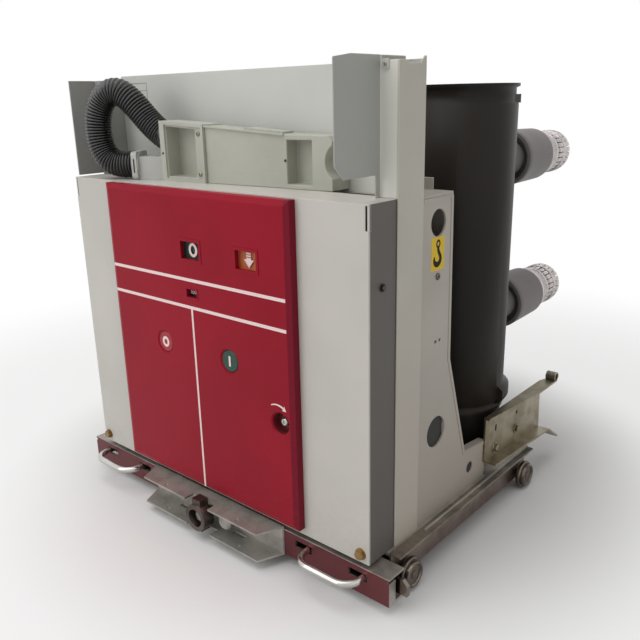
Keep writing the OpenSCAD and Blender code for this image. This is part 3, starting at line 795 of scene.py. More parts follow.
class Shape:
    """A mesh under construction, in millimetres: x to the right, y up and z out of the seat."""

    def __init__(self) -> None:
        """Starts empty."""
        self.mesh = bmesh.new()

    def rings(self, rows: Sequence[Sequence[Vector]], loop: bool = False) -> Shape:
        """Skins rows of points that each close on themselves, and fills the end rows.

        Args:
            rows: Rows of equally many points.
            loop: Whether the last row joins the first, so that there are no ends.

        Returns:
            This shape.
        """
        made = [[self.mesh.verts.new(p) for p in row] for row in rows]
        pairs = list(zip(made, made[1:] + made[:1])) if loop else list(zip(made, made[1:]))
        for low, high in pairs:
            count = len(low)
            for i in range(count):
                j = (i + 1) % count
                self.mesh.faces.new((low[i], low[j], high[j], high[i]))
        if not loop:
            self.mesh.faces.new(list(reversed(made[0])))
            self.mesh.faces.new(made[-1])
        return self

    def turned(self, profile: Sequence[Point2], sides: int = 32, loop: bool = False) -> Shape:
        """Turns a profile of (radius, height) points about z.

        Args:
            profile: The points, from the seat outwards.
            sides: Sides of the round.
            loop: Whether the profile closes on itself, as a ring's does.

        Returns:
            This shape.
        """
        def row(radius: float, height: float) -> list[Vector]:
            """Gives one round of points."""
            turns = [2 * math.pi * k / sides for k in range(sides)]
            return [Vector((radius * math.cos(t), radius * math.sin(t), height)) for t in turns]

        return self.rings([row(max(r, LEAST_R), h) for r, h in profile], loop)

    def plate(self, outline: Sequence[Point2], low: float, high: float, soften: float = 0.0) -> Shape:
        """Raises a flat outline, with its top edge softened.

        Args:
            outline: The points, anticlockwise.
            low: Height of the foot.
            high: Height of the face.
            soften: Width of the top edge's bevel.

        Returns:
            This shape.
        """
        rows = [[Vector((x, y, z)) for x, y in outline] for z in (low, high)]
        self.rings(rows)
        if soften:
            top = [e for e in self.mesh.edges if all(abs(v.co.z - high) < LEVEL for v in e.verts)]
            bmesh.ops.bevel(self.mesh, geom=top, offset=soften, segments=2, affect="EDGES", profile=0.6)
        return self

    def frame(self, outer: Sequence[Point2], inner: Sequence[Point2], low: float, high: float) -> Shape:
        """Raises the band between two outlines of equally many points.

        Args:
            outer: The outer points, anticlockwise.
            inner: The inner points, in step with them.
            low: Height of the foot.
            high: Height of the face.

        Returns:
            This shape.
        """
        walls = ((outer, low), (outer, high), (inner, high), (inner, low))
        return self.rings([[Vector((x, y, z)) for x, y in line] for line, z in walls], loop=True)

    def ribbon(self, line: Sequence[Point2], widths: Sequence[float], low: float, high: float) -> Shape:
        """Raises a stroke of changing width along a line.

        Args:
            line: The stroke's points.
            widths: Its width at each.
            low: Height of the foot.
            high: Height of the face.

        Returns:
            This shape.
        """
        left: list[Point2] = []
        right: list[Point2] = []
        for i, (x, y) in enumerate(line):
            ax, ay = line[max(i - 1, 0)]
            bx, by = line[min(i + 1, len(line) - 1)]
            run = math.hypot(bx - ax, by - ay)
            nx, ny = -(by - ay) / run, (bx - ax) / run
            half = widths[i] / 2
            left.append((x + nx * half, y + ny * half))
            right.append((x - nx * half, y - ny * half))
        return self.rings(
            [
                [Vector((*a, low)), Vector((*b, low)), Vector((*b, high)), Vector((*a, high))]
                for a, b in zip(left, right)
            ]
        )

    def numerals(self, digits: str, height: float, low: float, high: float, spacing: float) -> Shape:
        """Adds plain upright digits, centred on the seat.

        Args:
            digits: The digits.
            height: Their height.
            low: Height of the foot.
            high: Height of the face.
            spacing: Distance from one digit to the next.

        Returns:
            This shape.
        """
        start = -spacing * (len(digits) - 1) / 2
        for k, digit in enumerate(digits):
            curve = bpy.data.curves.new("digit", "FONT")
            curve.body = digit
            curve.size = height * FONT
            curve.align_x = "CENTER"
            curve.align_y = "CENTER"
            curve.extrude = (high - low) / 2
            holder = bpy.data.objects.new("digit", curve)
            flat = holder.to_mesh()
            flat.transform(Matrix.Translation((start + spacing * k, 0.0, (low + high) / 2)))
            self.mesh.from_mesh(flat)
            holder.to_mesh_clear()
            bpy.data.objects.remove(holder)
            bpy.data.curves.remove(curve)
        return self

    def finished(self, name: str, seat: Matrix, smooth: float) -> bpy.types.Mesh:
        """Places the mesh on its seat and closes it.

        Args:
            name: The mesh's name.
            seat: The place of its axes, in metres.
            smooth: Edges flatter than this many degrees are shaded smooth.

        Returns:
            The mesh.
        """
        bmesh.ops.remove_doubles(self.mesh, verts=self.mesh.verts, dist=WELD)
        bmesh.ops.recalc_face_normals(self.mesh, faces=self.mesh.faces)
        self.mesh.transform(seat @ Matrix.Scale(MM, 4))
        for face in self.mesh.faces:
            face.smooth = True
        for edge in self.mesh.edges:
            edge.smooth = len(edge.link_faces) == 2 and edge.calc_face_angle(0.0) < math.radians(smooth)
        made = bpy.data.meshes.new(name)
        self.mesh.to_mesh(made)
        self.mesh.free()
        return made


class Facing(Enum):
    """The way that a fitting looks out, as the seat's right and up in the breaker's axes."""

    FRONT = ((1, 0, 0), (0, 0, 1))
    REAR = ((-1, 0, 0), (0, 0, 1))
    RIGHT = ((0, 1, 0), (0, 0, 1))
    LEFT = ((0, -1, 0), (0, 0, 1))
    UP = ((1, 0, 0), (0, 1, 0))


# each side's name, the way it looks and its sign on x
SIDES = (("left", Facing.LEFT, -1), ("right", Facing.RIGHT, 1))


@dataclass(frozen=True)
class Datum:
    """The breaker's zero in the frame: the middle of its width, at the housing's front lower edge."""

    front: float
    base: float

    def at(self, point: Point3) -> Vector:
        """Gives a point in metres in the frame."""
        return Vector(point) * MM + Vector((0.0, self.front, self.base))

    def seat(self, point: Point3, facing: Facing, turn: float = 0.0, swing: float = 0.0) -> Matrix:
        """Gives the axes of a fitting.

        Args:
            point: Where it sits.
            facing: The way it looks out.
            turn: Degrees that it is turned in its own plane, anticlockwise.
            swing: Degrees that it is swung about the upright.

        Returns:
            The seat, in metres.
        """
        right, up = (Vector(v) for v in facing.value)
        axes = Matrix((right, up, right.cross(up))).transposed()
        swung = Matrix.Rotation(math.radians(swing), 3, "Z") @ axes
        spun = swung @ Matrix.Rotation(math.radians(turn), 3, "Z")
        return Matrix.Translation(self.at(point)) @ spun.to_4x4()

    def inside(self, node: str) -> tuple[Vector, Vector]:
        """Gives a node's box in millimetres in the breaker's axes.

        Args:
            node: The node's name.

        Returns:
            Its lowest and its highest corner.
        """
        zero = Vector((0.0, self.front, self.base))
        low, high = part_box(node)
        return (low - zero) / MM, (high - zero) / MM

    def half_width(self, node: str) -> float:
        """Gives how far a node reaches from the middle of the breaker's width."""
        return max(abs(corner.x) for corner in self.inside(node))


def rounded(width: float, height: float, radius: float, steps: int = 4) -> list[Point2]:
    """Gives a rectangle with round corners about the seat's middle.

    Args:
        width: Its width.
        height: Its height.
        radius: The corners' radius.
        steps: Steps in each corner.

    Returns:
        The points, anticlockwise.
    """
    corners = ((1, 1, 0), (-1, 1, 90), (-1, -1, 180), (1, -1, 270))
    points: list[Point2] = []
    for sx, sy, start in corners:
        for k in range(steps + 1):
            angle = math.radians(start + 90 * k / steps)
            points.append(
                (
                    sx * (width / 2 - radius) + radius * math.cos(angle),
                    sy * (height / 2 - radius) + radius * math.sin(angle),
                )
            )
    return points


def oval(half_width: float, half_height: float, sides: int = 36, at: Point2 = (0.0, 0.0)) -> list[Point2]:
    """Gives an ellipse, anticlockwise.

    Args:
        half_width: Half its width.
        half_height: Half its height.
        sides: Its points.
        at: Its middle.

    Returns:
        The points.
    """
    turns = [2 * math.pi * k / sides for k in range(sides)]
    return [(at[0] + half_width * math.cos(t), at[1] + half_height * math.sin(t)) for t in turns]


def arc(radius: float, start: float, end: float, steps: int, at: Point2 = (0.0, 0.0)) -> list[Point2]:
    """Gives an arc from one angle to another.

    Args:
        radius: Its radius.
        start: First angle in degrees.
        end: Last angle in degrees.
        steps: Its steps.
        at: Its middle.

    Returns:
        The points.
    """
    angles = [math.radians(start + (end - start) * k / steps) for k in range(steps + 1)]
    return [(at[0] + radius * math.cos(a), at[1] + radius * math.sin(a)) for a in angles]


@dataclass(frozen=True)
class HexBolt:
    """A hexagon bolt on a plain washer."""

    flats: float = 10.0
    head: float = 4.5
    washer_r: float = 8.5
    washer_t: float = 1.4

    def shape(self) -> Shape:
        """Makes the washer and the chamfered head.

        Returns:
            The bolt, seated at z = 0.
        """
        corner = self.flats / math.sqrt(3)
        rim, thick = self.washer_r, self.washer_t
        top = thick + self.head
        made = Shape().turned([(rim, 0), (rim, thick - 0.3), (rim - 0.4, thick)])
        chamfered = [(corner * 0.97, thick), (corner, thick + 0.4), (corner, top - 0.7), (corner * 0.86, top)]
        return made.turned(chamfered, 6)


@dataclass(frozen=True)
class PanScrew:
    """A small pan-head screw with a driver's recess."""

    radius: float = 3.2
    rise: float = 2.0
    recess_share: float = 0.42

    def shape(self) -> Shape:
        """Makes the domed head and its recess.

        Returns:
            The screw, seated at z = 0.
        """
        r, h = self.radius, self.rise
        recess = r * self.recess_share
        dome = [(r, 0), (r, h * 0.45), (r * 0.9, h * 0.75), (r * 0.7, h * 0.95), (recess * 1.1, h)]
        return Shape().turned([*dome, (recess, h * 0.9), (recess * 0.8, h * 0.35), (0, h * 0.3)], 24)


@dataclass
class CoverFace:
    """The printed signs on the red front cover and on what shows through it."""

    shop: Workshop
    datum: Datum
    line_left: float = -187.0
    line_right: float = 176.0
    upper_line: float = 336.0
    lower_line: float = 296.0
    upright_line: float = -6.5
    upright_low: float = 13.0
    upright_share: float = 0.8
    line_w: float = 4.6
    line_corner: float = 0.4
    ink: float = 0.15
    state_ring: tuple[Point2, Point2] = ((9.0, 10.0), (4.6, 6.0))
    spring_tip: float = -10.5
    spring_barb: Point2 = (9.0, 0.5)
    spring_half: float = 4.2
    spring_neck: float = 3.0
    spring_bars: Point2 = (4.2, 7.6)
    spring_bar_h: float = 2.2
    digits: str = "00000"
    digit_h: float = 5.0
    digit_step: float = 3.8
    open_ring: tuple[Point2, Point2] = ((7.6, 8.2), (3.6, 4.2))
    close_bar: Point2 = (3.6, 15.0)
    flag_rim: float = 3.0
    bezel_w: float = 4.0
    bezel_rise: float = 0.7
    bezel_corner: float = 1.2
    counter_share: float = 0.5
    window_gap: float = 0.2
    window_corner: float = 0.3
    arrow_r: float = 24.0
    arrow_sweep: Point2 = (118.0, 62.0)
    arrow_steps: int = 14
    arrow_thin: float = 1.4
    arrow_swell: float = 1.6
    arrow_tip: float = 48.0
    arrow_barb: Point2 = (63.0, 4.0)
    arrow_shift: Point2 = (-4.0, 2.5)
    hole_shade_r: float = 14.9
    hole_shade_wall: float = 0.4
    hole_shade_floor: float = 0.4
    hole_shade_gap: float = 0.4
    hole_shade_deep: float = 11.0
    shaft_shade_t: float = 0.3
    stub_r: float = 5.2
    stub_len: float = 7.0
    stub_soft: float = 0.8
    stub_hole: Point2 = (0.45, 0.36)
    stub_hole_d: Point2 = (1.6, 1.8)

    def build(self) -> None:
        """Prints the cover's lines and signs, fits its windows, and puts painted shade and the stub in its
        charging hole.
        """
        self._lines()
        self._flags()
        self._counter()
        self._buttons()
        self._bezels()
        self._charging_arrow()
        self._charging_hole_shade()

    def _on_cover(self, x: float, z: float) -> Matrix:
        """Gives a seat on the cover's face."""
        return self.datum.seat((x, self.datum.inside("front_cover")[0].y, z), Facing.FRONT)

    def _middle(self, node: str) -> Point2:
        """Gives the middle of a node, across and up."""
        low, high = self.datum.inside(node)
        return (low.x + high.x) / 2, (low.z + high.z) / 2

    def _on_node(self, node: str) -> Matrix:
        """Gives a seat in the middle of a node's front face."""
        x, z = self._middle(node)
        return self.datum.seat((x, self.datum.inside(node)[0].y, z), Facing.FRONT)

    def _lines(self) -> None:
        """Prints the two long lines and the upright one between the buttons."""
        middle = (self.line_left + self.line_right) / 2
        length = self.line_right - self.line_left
        for name, z in (("cover_line_upper", self.upper_line), ("cover_line_lower", self.lower_line)):
            shape = Shape().plate(rounded(length, self.line_w, self.line_corner), 0.0, self.ink)
            self.shop.piece(name, shape, self._on_cover(middle, z), Finishes.WHITE_INK)
        tall = self.lower_line - self.line_w / 2 - self.upright_low
        wide = self.line_w * self.upright_share
        shape = Shape().plate(rounded(wide, tall, self.line_corner), 0.0, self.ink)
        seat = self._on_cover(self.upright_line, self.upright_low + tall / 2)
        self.shop.piece("cover_line_upright", shape, seat, Finishes.WHITE_INK)

    def _flags(self) -> None:
        """Prints a ring on the state flag and a plain down arrow on the spring flag."""
        outer, inner = self.state_ring
        ring = Shape().frame(oval(*outer), oval(*inner), 0.0, self.ink)
        self.shop.piece("state_flag_ring", ring, self._on_node("state_indicator"), Finishes.WHITE_INK)
        half, neck = self.spring_half, self.spring_neck
        barb, shoulder = self.spring_barb
        right = [(barb, shoulder), (half, shoulder), (half, neck)]
        left = [(-x, z) for x, z in reversed(right)]
        arrow = Shape().plate([(0, self.spring_tip), *right, *left], 0.0, self.ink)
        for low in self.spring_bars:
            high = low + self.spring_bar_h
            arrow.plate([(-half, low), (half, low), (half, high), (-half, high)], 0.0, self.ink)
        self.shop.piece("spring_flag_arrow", arrow, self._on_node("spring_indicator"), Finishes.WHITE_INK)

    def _counter(self) -> None:
        """Adds the counter's plain digits."""
        digits = Shape().numerals(self.digits, self.digit_h, 0.0, self.ink, self.digit_step)
        self.shop.piece("counter_digits", digits, self._on_node("operation_counter"), Finishes.WHITE_INK)

    def _buttons(self) -> None:
        """Prints a ring on the red button and a bar on the green one."""
        outer, inner = self.open_ring
        ring = Shape().frame(oval(*outer), oval(*inner), 0.0, self.ink)
        bar = Shape().plate(rounded(*self.close_bar, 0.5), 0.0, self.ink)
        for button, sign, shape in (("open_button", "ring", ring), ("close_button", "bar", bar)):
            seat = self._on_node(button)
            self.shop.piece(f"{button}_{sign}", shape, seat, Finishes.WHITE_INK, button)

    def _bezels(self) -> None:
        """Raises a low frame round each window of the cover."""
        for node in ("state_indicator", "spring_indicator", "operation_counter"):
            low, high = self.datum.inside(node)
            width, height = (high - low).x - 2 * self.flag_rim, (high - low).z - 2 * self.flag_rim
            rim = self.bezel_w * (self.counter_share if node == "operation_counter" else 1.0)
            outer = rounded(width + 2 * rim, height + 2 * rim, self.bezel_corner)
            inner = rounded(width - self.window_gap, height - self.window_gap, self.window_corner)
            shape = Shape().frame(outer, inner, 0.0, self.bezel_rise)
            seat = self._on_cover(*self._middle(node))
            self.shop.piece(f"{node}_bezel", shape, seat, Finishes.COVER, slot="cover_red")

    def _charging_hole_shade(self) -> None:
        """Lines the charging hole and the shaft's face with dark red painted shade, and puts the bright stub
        with its centre hole on the shaft.
        """
        low, high = self.datum.inside("charging_shaft")
        x, z = self._middle("charging_shaft")
        shaft_r = (high.x - low.x) / 2
        hole = shaft_r + self.hole_shade_gap
        # painted shade: a dark red floor and wall in the hole, and a dark red disc on the shaft's face round
        # the stub
        floor = Shape().frame(oval(self.hole_shade_r, self.hole_shade_r), oval(hole, hole), 0.0, self.hole_shade_floor)
        seat = self.datum.seat((x, 0.0, z), Facing.FRONT)
        self.shop.piece("charging_hole_shade_floor", floor, seat, Finishes.HOLE_SHADE)
        outer, inner, deep = self.hole_shade_r, self.hole_shade_r - self.hole_shade_wall, self.hole_shade_deep
        wall = Shape().turned([(outer, 0), (outer, deep), (inner, deep), (inner, 0)], 40, loop=True)
        self.shop.piece("charging_hole_shade_wall", wall, seat, Finishes.HOLE_SHADE)
        collar = Shape().turned([(shaft_r, 0), (shaft_r, self.shaft_shade_t), (0, self.shaft_shade_t)])
        seat = self.datum.seat((x, low.y, z), Facing.FRONT)
        self.shop.piece("charging_shaft_shade_disc", collar, seat, Finishes.HOLE_SHADE, "charging_shaft")
        r, tall, soft = self.stub_r, self.stub_len, self.stub_soft
        wide, narrow = (r * share for share in self.stub_hole)
        shallow, bottom = (tall - depth for depth in self.stub_hole_d)
        outside = [(r, 0), (r, tall - soft), (r - soft, tall)]
        stub = Shape().turned([*outside, (wide, tall), (narrow, shallow), (0, bottom)])
        shaft = "charging_shaft"
        self.shop.piece("charging_shaft_stub", stub, seat, Finishes.SHAFT, shaft, slot="shaft_steel")

    def _charging_arrow(self) -> None:
        """Prints the arrow over the charging shaft that gives the crank's way round."""
        x, z = self._middle("charging_shaft")
        radius, steps = self.arrow_r, self.arrow_steps
        widths = [self.arrow_thin + self.arrow_swell * k / steps for k in range(steps + 1)]
        shape = Shape().ribbon(arc(radius, *self.arrow_sweep, steps), widths, 0.0, self.ink)
        turn, half = self.arrow_barb
        head = ((radius, self.arrow_tip), (radius + half, turn), (radius - half, turn))
        points = [(reach * math.cos(math.radians(a)), reach * math.sin(math.radians(a))) for reach, a in head]
        shape.plate(points, 0.0, self.ink)
        across, up = self.arrow_shift
        self.shop.piece("charging_arrow", shape, self._on_cover(x + across, z + up), Finishes.WHITE_INK)


@dataclass
class LiftingLabel:
    """The yellow film below the lifting hole, with a plain hook."""

    shop: Workshop
    datum: Datum
    y: float = 145.5
    z: float = 382.5
    width: float = 30.5
    height: float = 43.0
    corner: float = 1.5
    film: float = 0.2
    ink: float = 0.12
    eye_at: Point2 = (0.4, 12.6)
    eye_outer: Point2 = (5.0, 5.6)
    eye_inner: Point2 = (2.2, 2.8)
    shank: Sequence[Point2] = ((0.3, 7.6), (0.8, 4.4), (2.8, 0.6))
    shank_widths: Sequence[float] = (5.0, 5.2, 5.4)
    bend_at: Point2 = (-1.2, -6.6)
    bend_r: float = 7.4
    bend_sweep: Point2 = (34.0, -205.0)
    bend_steps: int = 22
    bend_w: float = 5.6
    bend_swell: float = 1.4
    point_from: float = 0.7
    point_thin: float = 3.2

    def build(self) -> None:
        """Makes the film and the hook on both side plates' outer faces."""
        for side, facing, way in SIDES:
            low, high = self.datum.inside(f"frame_side_{side}")
            film = Shape().plate(rounded(self.width, self.height, self.corner), 0.0, self.film)
            seat = self.datum.seat((high.x if way > 0 else low.x, self.y, self.z), facing)
            self.shop.piece(f"lifting_label_{side}", film, seat, Finishes.YELLOW_FILM)
            self.shop.piece(f"lifting_hook_{side}", self._hook(), seat, Finishes.BLACK_INK)

    def _hook(self) -> Shape:
        """Draws an eye, a shank and a hook.

        Returns:
            The drawing.
        """
        low, high = self.film, self.film + self.ink
        outer, inner = (oval(*half, at=self.eye_at) for half in (self.eye_outer, self.eye_inner))
        shape = Shape().frame(outer, inner, low, high)
        steps = self.bend_steps
        bend = arc(self.bend_r, *self.bend_sweep, steps, at=self.bend_at)
        widths = list(self.shank_widths)
        for k in range(steps + 1):
            swell = math.sin(math.pi * k / steps)
            taper = max(0.0, k / steps - self.point_from) / (1 - self.point_from)
            widths.append(self.bend_w + self.bend_swell * swell - self.point_thin * taper)
        return shape.ribbon([*self.shank, *bend], widths, low, high)


@dataclass(frozen=True)
class PlugPlace:
    """Where the control plug and the hose's gland stand on the housing."""

    top: float
    plug: Point2 = (-114.0, 38.7)
    plug_turn: float = 5.0
    gland: Point2 = (-152.0, 50.0)
    gland_turn: float = 30.0
    gland_up: float = 22.0
    lead_out: Point2 = (26.0, 38.0)
    lead_in: Point2 = (-12.0, -0.3)
    port_back: float = 18.0
    port_up: float = 64.0

    def on_plug(self, along: float, back: float, up: float) -> Point3:
        """Gives a point on the plug.

        Args:
            along: How far along it from the hose's end.
            back: How far back from its face.
            up: How far over the housing.

        Returns:
            The point in the breaker's axes.
        """
        turn = math.radians(self.plug_turn)
        return (
            self.plug[0] + along * math.cos(turn) - back * math.sin(turn),
            self.plug[1] + along * math.sin(turn) + back * math.cos(turn),
            self.top + up,
        )

    def off_gland(self, along: float, up: float) -> Point3:
        """Gives a point out from the gland towards the hose."""
        turn = math.radians(self.gland_turn)
        return self.gland[0] - along * math.cos(turn), self.gland[1] - along * math.sin(turn), self.top + up

    def hose_route(self) -> list[Point3]:
        """Gives the hose's own route from the gland's collar round to the plug's end wall.

        Returns:
            The route's points in the breaker's axes.
        """
        loop = [
            (-196, 25, 22), (-208, 19, 25), (-219, 14, 34), (-226, 11, 51),
            (-228, 10, 74), (-225, 11, 97), (-217, 15, 115), (-205, 20, 126),
            (-190, 27, 127), (-175, 34, 116), (-162, 41, 100), (-148, 48, 82),
        ]
        start = [self.off_gland(along, self.gland_up) for along in self.lead_out]
        end = [self.on_plug(along, self.port_back, self.port_up) for along in self.lead_in]
        return [*start, *((x, y, self.top + z) for x, y, z in loop), *end]


@dataclass
class PlugTrim:
    """The plug's screws, bars and socket rim, and the clip on the hose's gland."""

    shop: Workshop
    datum: Datum
    place: PlugPlace
    screws: Sequence[tuple[float, float, float, float]] = (
        (76.0, 0.0, 12.5, 3.4), (76.0, 0.0, 68.0, 3.4), (230.5, 0.0, 36.0, 1.9), (4.8, -2.6, 40.0, 1.8),
    )
    screw_rise: float = 0.5
    bright_from: float = 2.5
    bars: dict[str, tuple[float, float, float, float, float, float]] = field(
        default_factory=lambda: {
            "plug_latch_bar": (156.0, 222.0, 7.0, 30.0, 0.0, 2.4),
            "plug_lid_lip": (88.0, 228.0, -1.4, 3.0, -1.6, 0.4),
        }
    )
    rim_outer: Sequence[Point2] = ((0.0, 0.0), (87.0, 0.0), (87.0, 81.0), (0.0, 86.0))
    rim_inner: Sequence[Point2] = ((9.5, 5.0), (83.0, 5.0), (83.0, 76.5), (9.5, 80.8))
    rim_rise: float = 2.6
    lid_high: float = 79.0
    lid_fall: float = 10.0 / 141.0
    lid_start: float = 87.0
    clip_at: float = 18.5
    clip_up: float = 21.0
    clip_len: float = 8.5
    clip_size: Point2 = (42.0, 41.0)
    clip_corner: float = 6.0
    clip_steps: int = 7
    clip_bore: float = 19.0
    clip_slot: Point2 = (2.2, 21.0)
    clip_slot_shade_t: float = 0.12

    def build(self) -> None:
        """Makes the screws, the bars, the rim and the clip."""
        turn = self.place.plug_turn
        for k, (along, back, up, radius) in enumerate(self.screws):
            seat = self.datum.seat(self.place.on_plug(along, back, up), Facing.FRONT, swing=turn)
            finish = Finishes.YELLOW_ZINC if radius > self.bright_from else Finishes.DARK_SCREW_AND_SHADE
            screw = PanScrew(radius, radius * self.screw_rise).shape()
            self.shop.piece(f"plug_screw_{k + 1}", screw, seat, finish)
        flat = self.datum.seat((0, 0, 0), Facing.UP)
        for name, bar in self.bars.items():
            self.shop.piece(name, self._bar(*bar), flat, Finishes.PLUG, slot="plug_plastic")
        rim = Shape().frame(self.rim_outer, self.rim_inner, 0.0, self.rim_rise)
        seat = self.datum.seat(self.place.on_plug(0.0, 0.0, 0.0), Facing.FRONT, swing=turn)
        self.shop.piece("plug_socket_rim", rim, seat, Finishes.PLUG, slot="plug_plastic")
        self._clip()

    def _bar(self, first: float, last: float, near: float, far: float, low: float, high: float) -> Shape:
        """Lays a straight bar along the lid's sloping top.

        Args:
            first: Where it starts along the plug.
            last: Where it ends.
            near: Its front, back from the plug's face.
            far: Its rear.
            low: Its foot over the lid's top.
            high: Its top over the lid's top.

        Returns:
            The bar, in the breaker's axes.
        """
        rows: list[list[Vector]] = []
        for along in (first, last):
            top = self.lid_high - (along - self.lid_start) * self.lid_fall
            corners = ((near, top + low), (far, top + low), (far, top + high), (near, top + high))
            rows.append([Vector(self.place.on_plug(along, back, up)) for back, up in corners])
        return Shape().rings(rows)

    def _clip(self) -> None:
        """Makes the square clip that holds the hose on the gland, with a thin dark mark of painted shade for
        the slot in its front.
        """
        turn = self.place.gland_turn
        width, height = self.clip_size
        bore = rounded(2 * self.clip_bore, 2 * self.clip_bore, self.clip_bore, self.clip_steps)
        body = rounded(width, height, self.clip_corner, self.clip_steps)
        clip = Shape().frame(body, bore, 0.0, self.clip_len)
        seat = self.datum.seat(self.place.off_gland(self.clip_at, self.clip_up), Facing.LEFT, swing=turn)
        self.shop.piece("gland_clip", clip, seat, Finishes.GLAND, slot="elbow_plastic", smooth=40.0)
        x, y, z = self.place.off_gland(self.clip_at + self.clip_len / 2, self.clip_up)
        out = Vector((math.sin(math.radians(turn)), -math.cos(math.radians(turn)))) * width / 2
        # painted shade: a thin dark plate stands for the slot
        slot = Shape().plate(rounded(*self.clip_slot, 1.0), 0.0, self.clip_slot_shade_t)
        seat = self.datum.seat((x + out.x, y + out.y, z), Facing.FRONT, swing=turn)
        self.shop.piece("gland_clip_slot_shade", slot, seat, Finishes.DARK_SCREW_AND_SHADE)


@dataclass
class ControlHose:
    """The corrugated hose from the gland to the control plug, in place of its plain tube."""

    shop: Workshop
    datum: Datum
    place: PlugPlace
    crest_r: float = 20.0
    root_r: float = 17.5
    pitch: float = 4.5
    wave: Sequence[float] = (0.0, 0.4, 0.9, 1.0, 0.9, 0.4)
    sides: int = 30

    def build(self) -> None:
        """Sweeps the corrugations along the route and hides the plain tube."""
        line = self._even(self._smooth([Vector(p) for p in self.place.hose_route()]))
        turns = [2 * math.pi * k / self.sides for k in range(self.sides)]
        rows: list[list[Vector]] = []
        up = Vector((0.0, 1.0, 0.0))
        for i, point in enumerate(line):
            ahead = (line[min(i + 1, len(line) - 1)] - line[max(i - 1, 0)]).normalized()
            up = (up - ahead * up.dot(ahead)).normalized()
            side = ahead.cross(up)
            radius = self._radius(i % len(self.wave))
            rows.append([point + (side * math.cos(t) + up * math.sin(t)) * radius for t in turns])
        seat = self.datum.seat((0, 0, 0), Facing.UP)
        shape = Shape().rings(rows)
        hose = self.shop.piece("corrugated_hose", shape, seat, Finishes.HOSE, slot="hose_black", smooth=75.0)
        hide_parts("hose")

    def _radius(self, step: int) -> float:
        """Gives the radius at a step of the corrugation: a round crest and a narrow root."""
        return self.root_r + (self.crest_r - self.root_r) * self.wave[step]

    @staticmethod
    def _smooth(points: Sequence[Vector], steps: int = 24) -> list[Vector]:
        """Runs a smooth curve through the route's points.

        Args:
            points: The route.
            steps: Steps between one point and the next.

        Returns:
            The curve's points.
        """
        ends = [points[0] * 2 - points[1], *points, points[-1] * 2 - points[-2]]
        curve: list[Vector] = []
        for a, b, c, d in zip(ends, ends[1:], ends[2:], ends[3:]):
            for k in range(steps):
                t = k / steps
                bend = (a * 2 - b * 5 + c * 4 - d) * t**2
                twist = (b * 3 - a - c * 3 + d) * t**3
                curve.append((b * 2 + (c - a) * t + bend + twist) / 2)
        return [*curve, points[-1]]

    def _even(self, curve: Sequence[Vector]) -> list[Vector]:
        """Gives points along a curve at even steps of the corrugation.

        Args:
            curve: Closely spaced points.

        Returns:
            The evenly spaced points.
        """
        gaps = [(b - a).length for a, b in zip(curve, curve[1:])]
        total = sum(gaps)
        count = round(total / self.pitch) * len(self.wave)
        line: list[Vector] = []
        i, run = 0, 0.0
        for k in range(count + 1):
            want = total * k / count
            while i < len(gaps) - 1 and run + gaps[i] < want:
                run += gaps[i]
                i += 1
            line.append(curve[i].lerp(curve[i + 1], min(1.0, (want - run) / gaps[i])))
        return line


@dataclass
class GarterSprings:
    """The coil springs that hold each tulip contact's fingers."""

    shop: Workshop
    datum: Datum
    wire_r: float = 0.7
    coil_r: float = 2.9
    turns: int = 84
    steps: int = 7
    waist: float = 34.0
    from_root: float = 28.0
    from_mouth: float = 25.0

    def build(self) -> None:
        """Winds two springs round each of the six contacts."""
        for row in ("upper", "lower"):
            for side in ("left", "centre", "right"):
                low, high = self.datum.inside(f"tulip_{row}_{side}")
                middle = ((low.x + high.x) / 2, 0.0, (low.z + high.z) / 2)
                shape = Shape()
                for y in (low.y + self.from_root, high.y - self.from_mouth):
                    self._wind(shape, y)
                seat = self.datum.seat(middle, Facing.REAR)
                self.shop.piece(f"garter_springs_{row}_{side}", shape, seat, Finishes.SHAFT)

    def _wind(self, shape: Shape, height: float) -> None:
        """Winds one spring.

        Args:
            shape: The shape that it is added to.
            height: Its height over the seat.
        """
        count = self.turns * self.steps
        quarters = [math.pi / 2 * k for k in range(4)]
        rows: list[list[Vector]] = []
        for k in range(count):
            around = 2 * math.pi * k / count
            coil = 2 * math.pi * k / self.steps
            out = Vector((math.cos(around), math.sin(around), 0.0))
            across = Vector((-math.sin(around), math.cos(around), 0.0))
            spoke = out * math.cos(coil) + Vector((0.0, 0.0, math.sin(coil)))
            reach = self.waist + self.coil_r * math.cos(coil)
            centre = out * reach + Vector((0.0, 0.0, height + self.coil_r * math.sin(coil)))
            ring = [spoke * math.cos(a) + across * math.sin(a) for a in quarters]
            rows.append([centre + step * self.wire_r for step in ring])
        shape.rings(rows, loop=True)


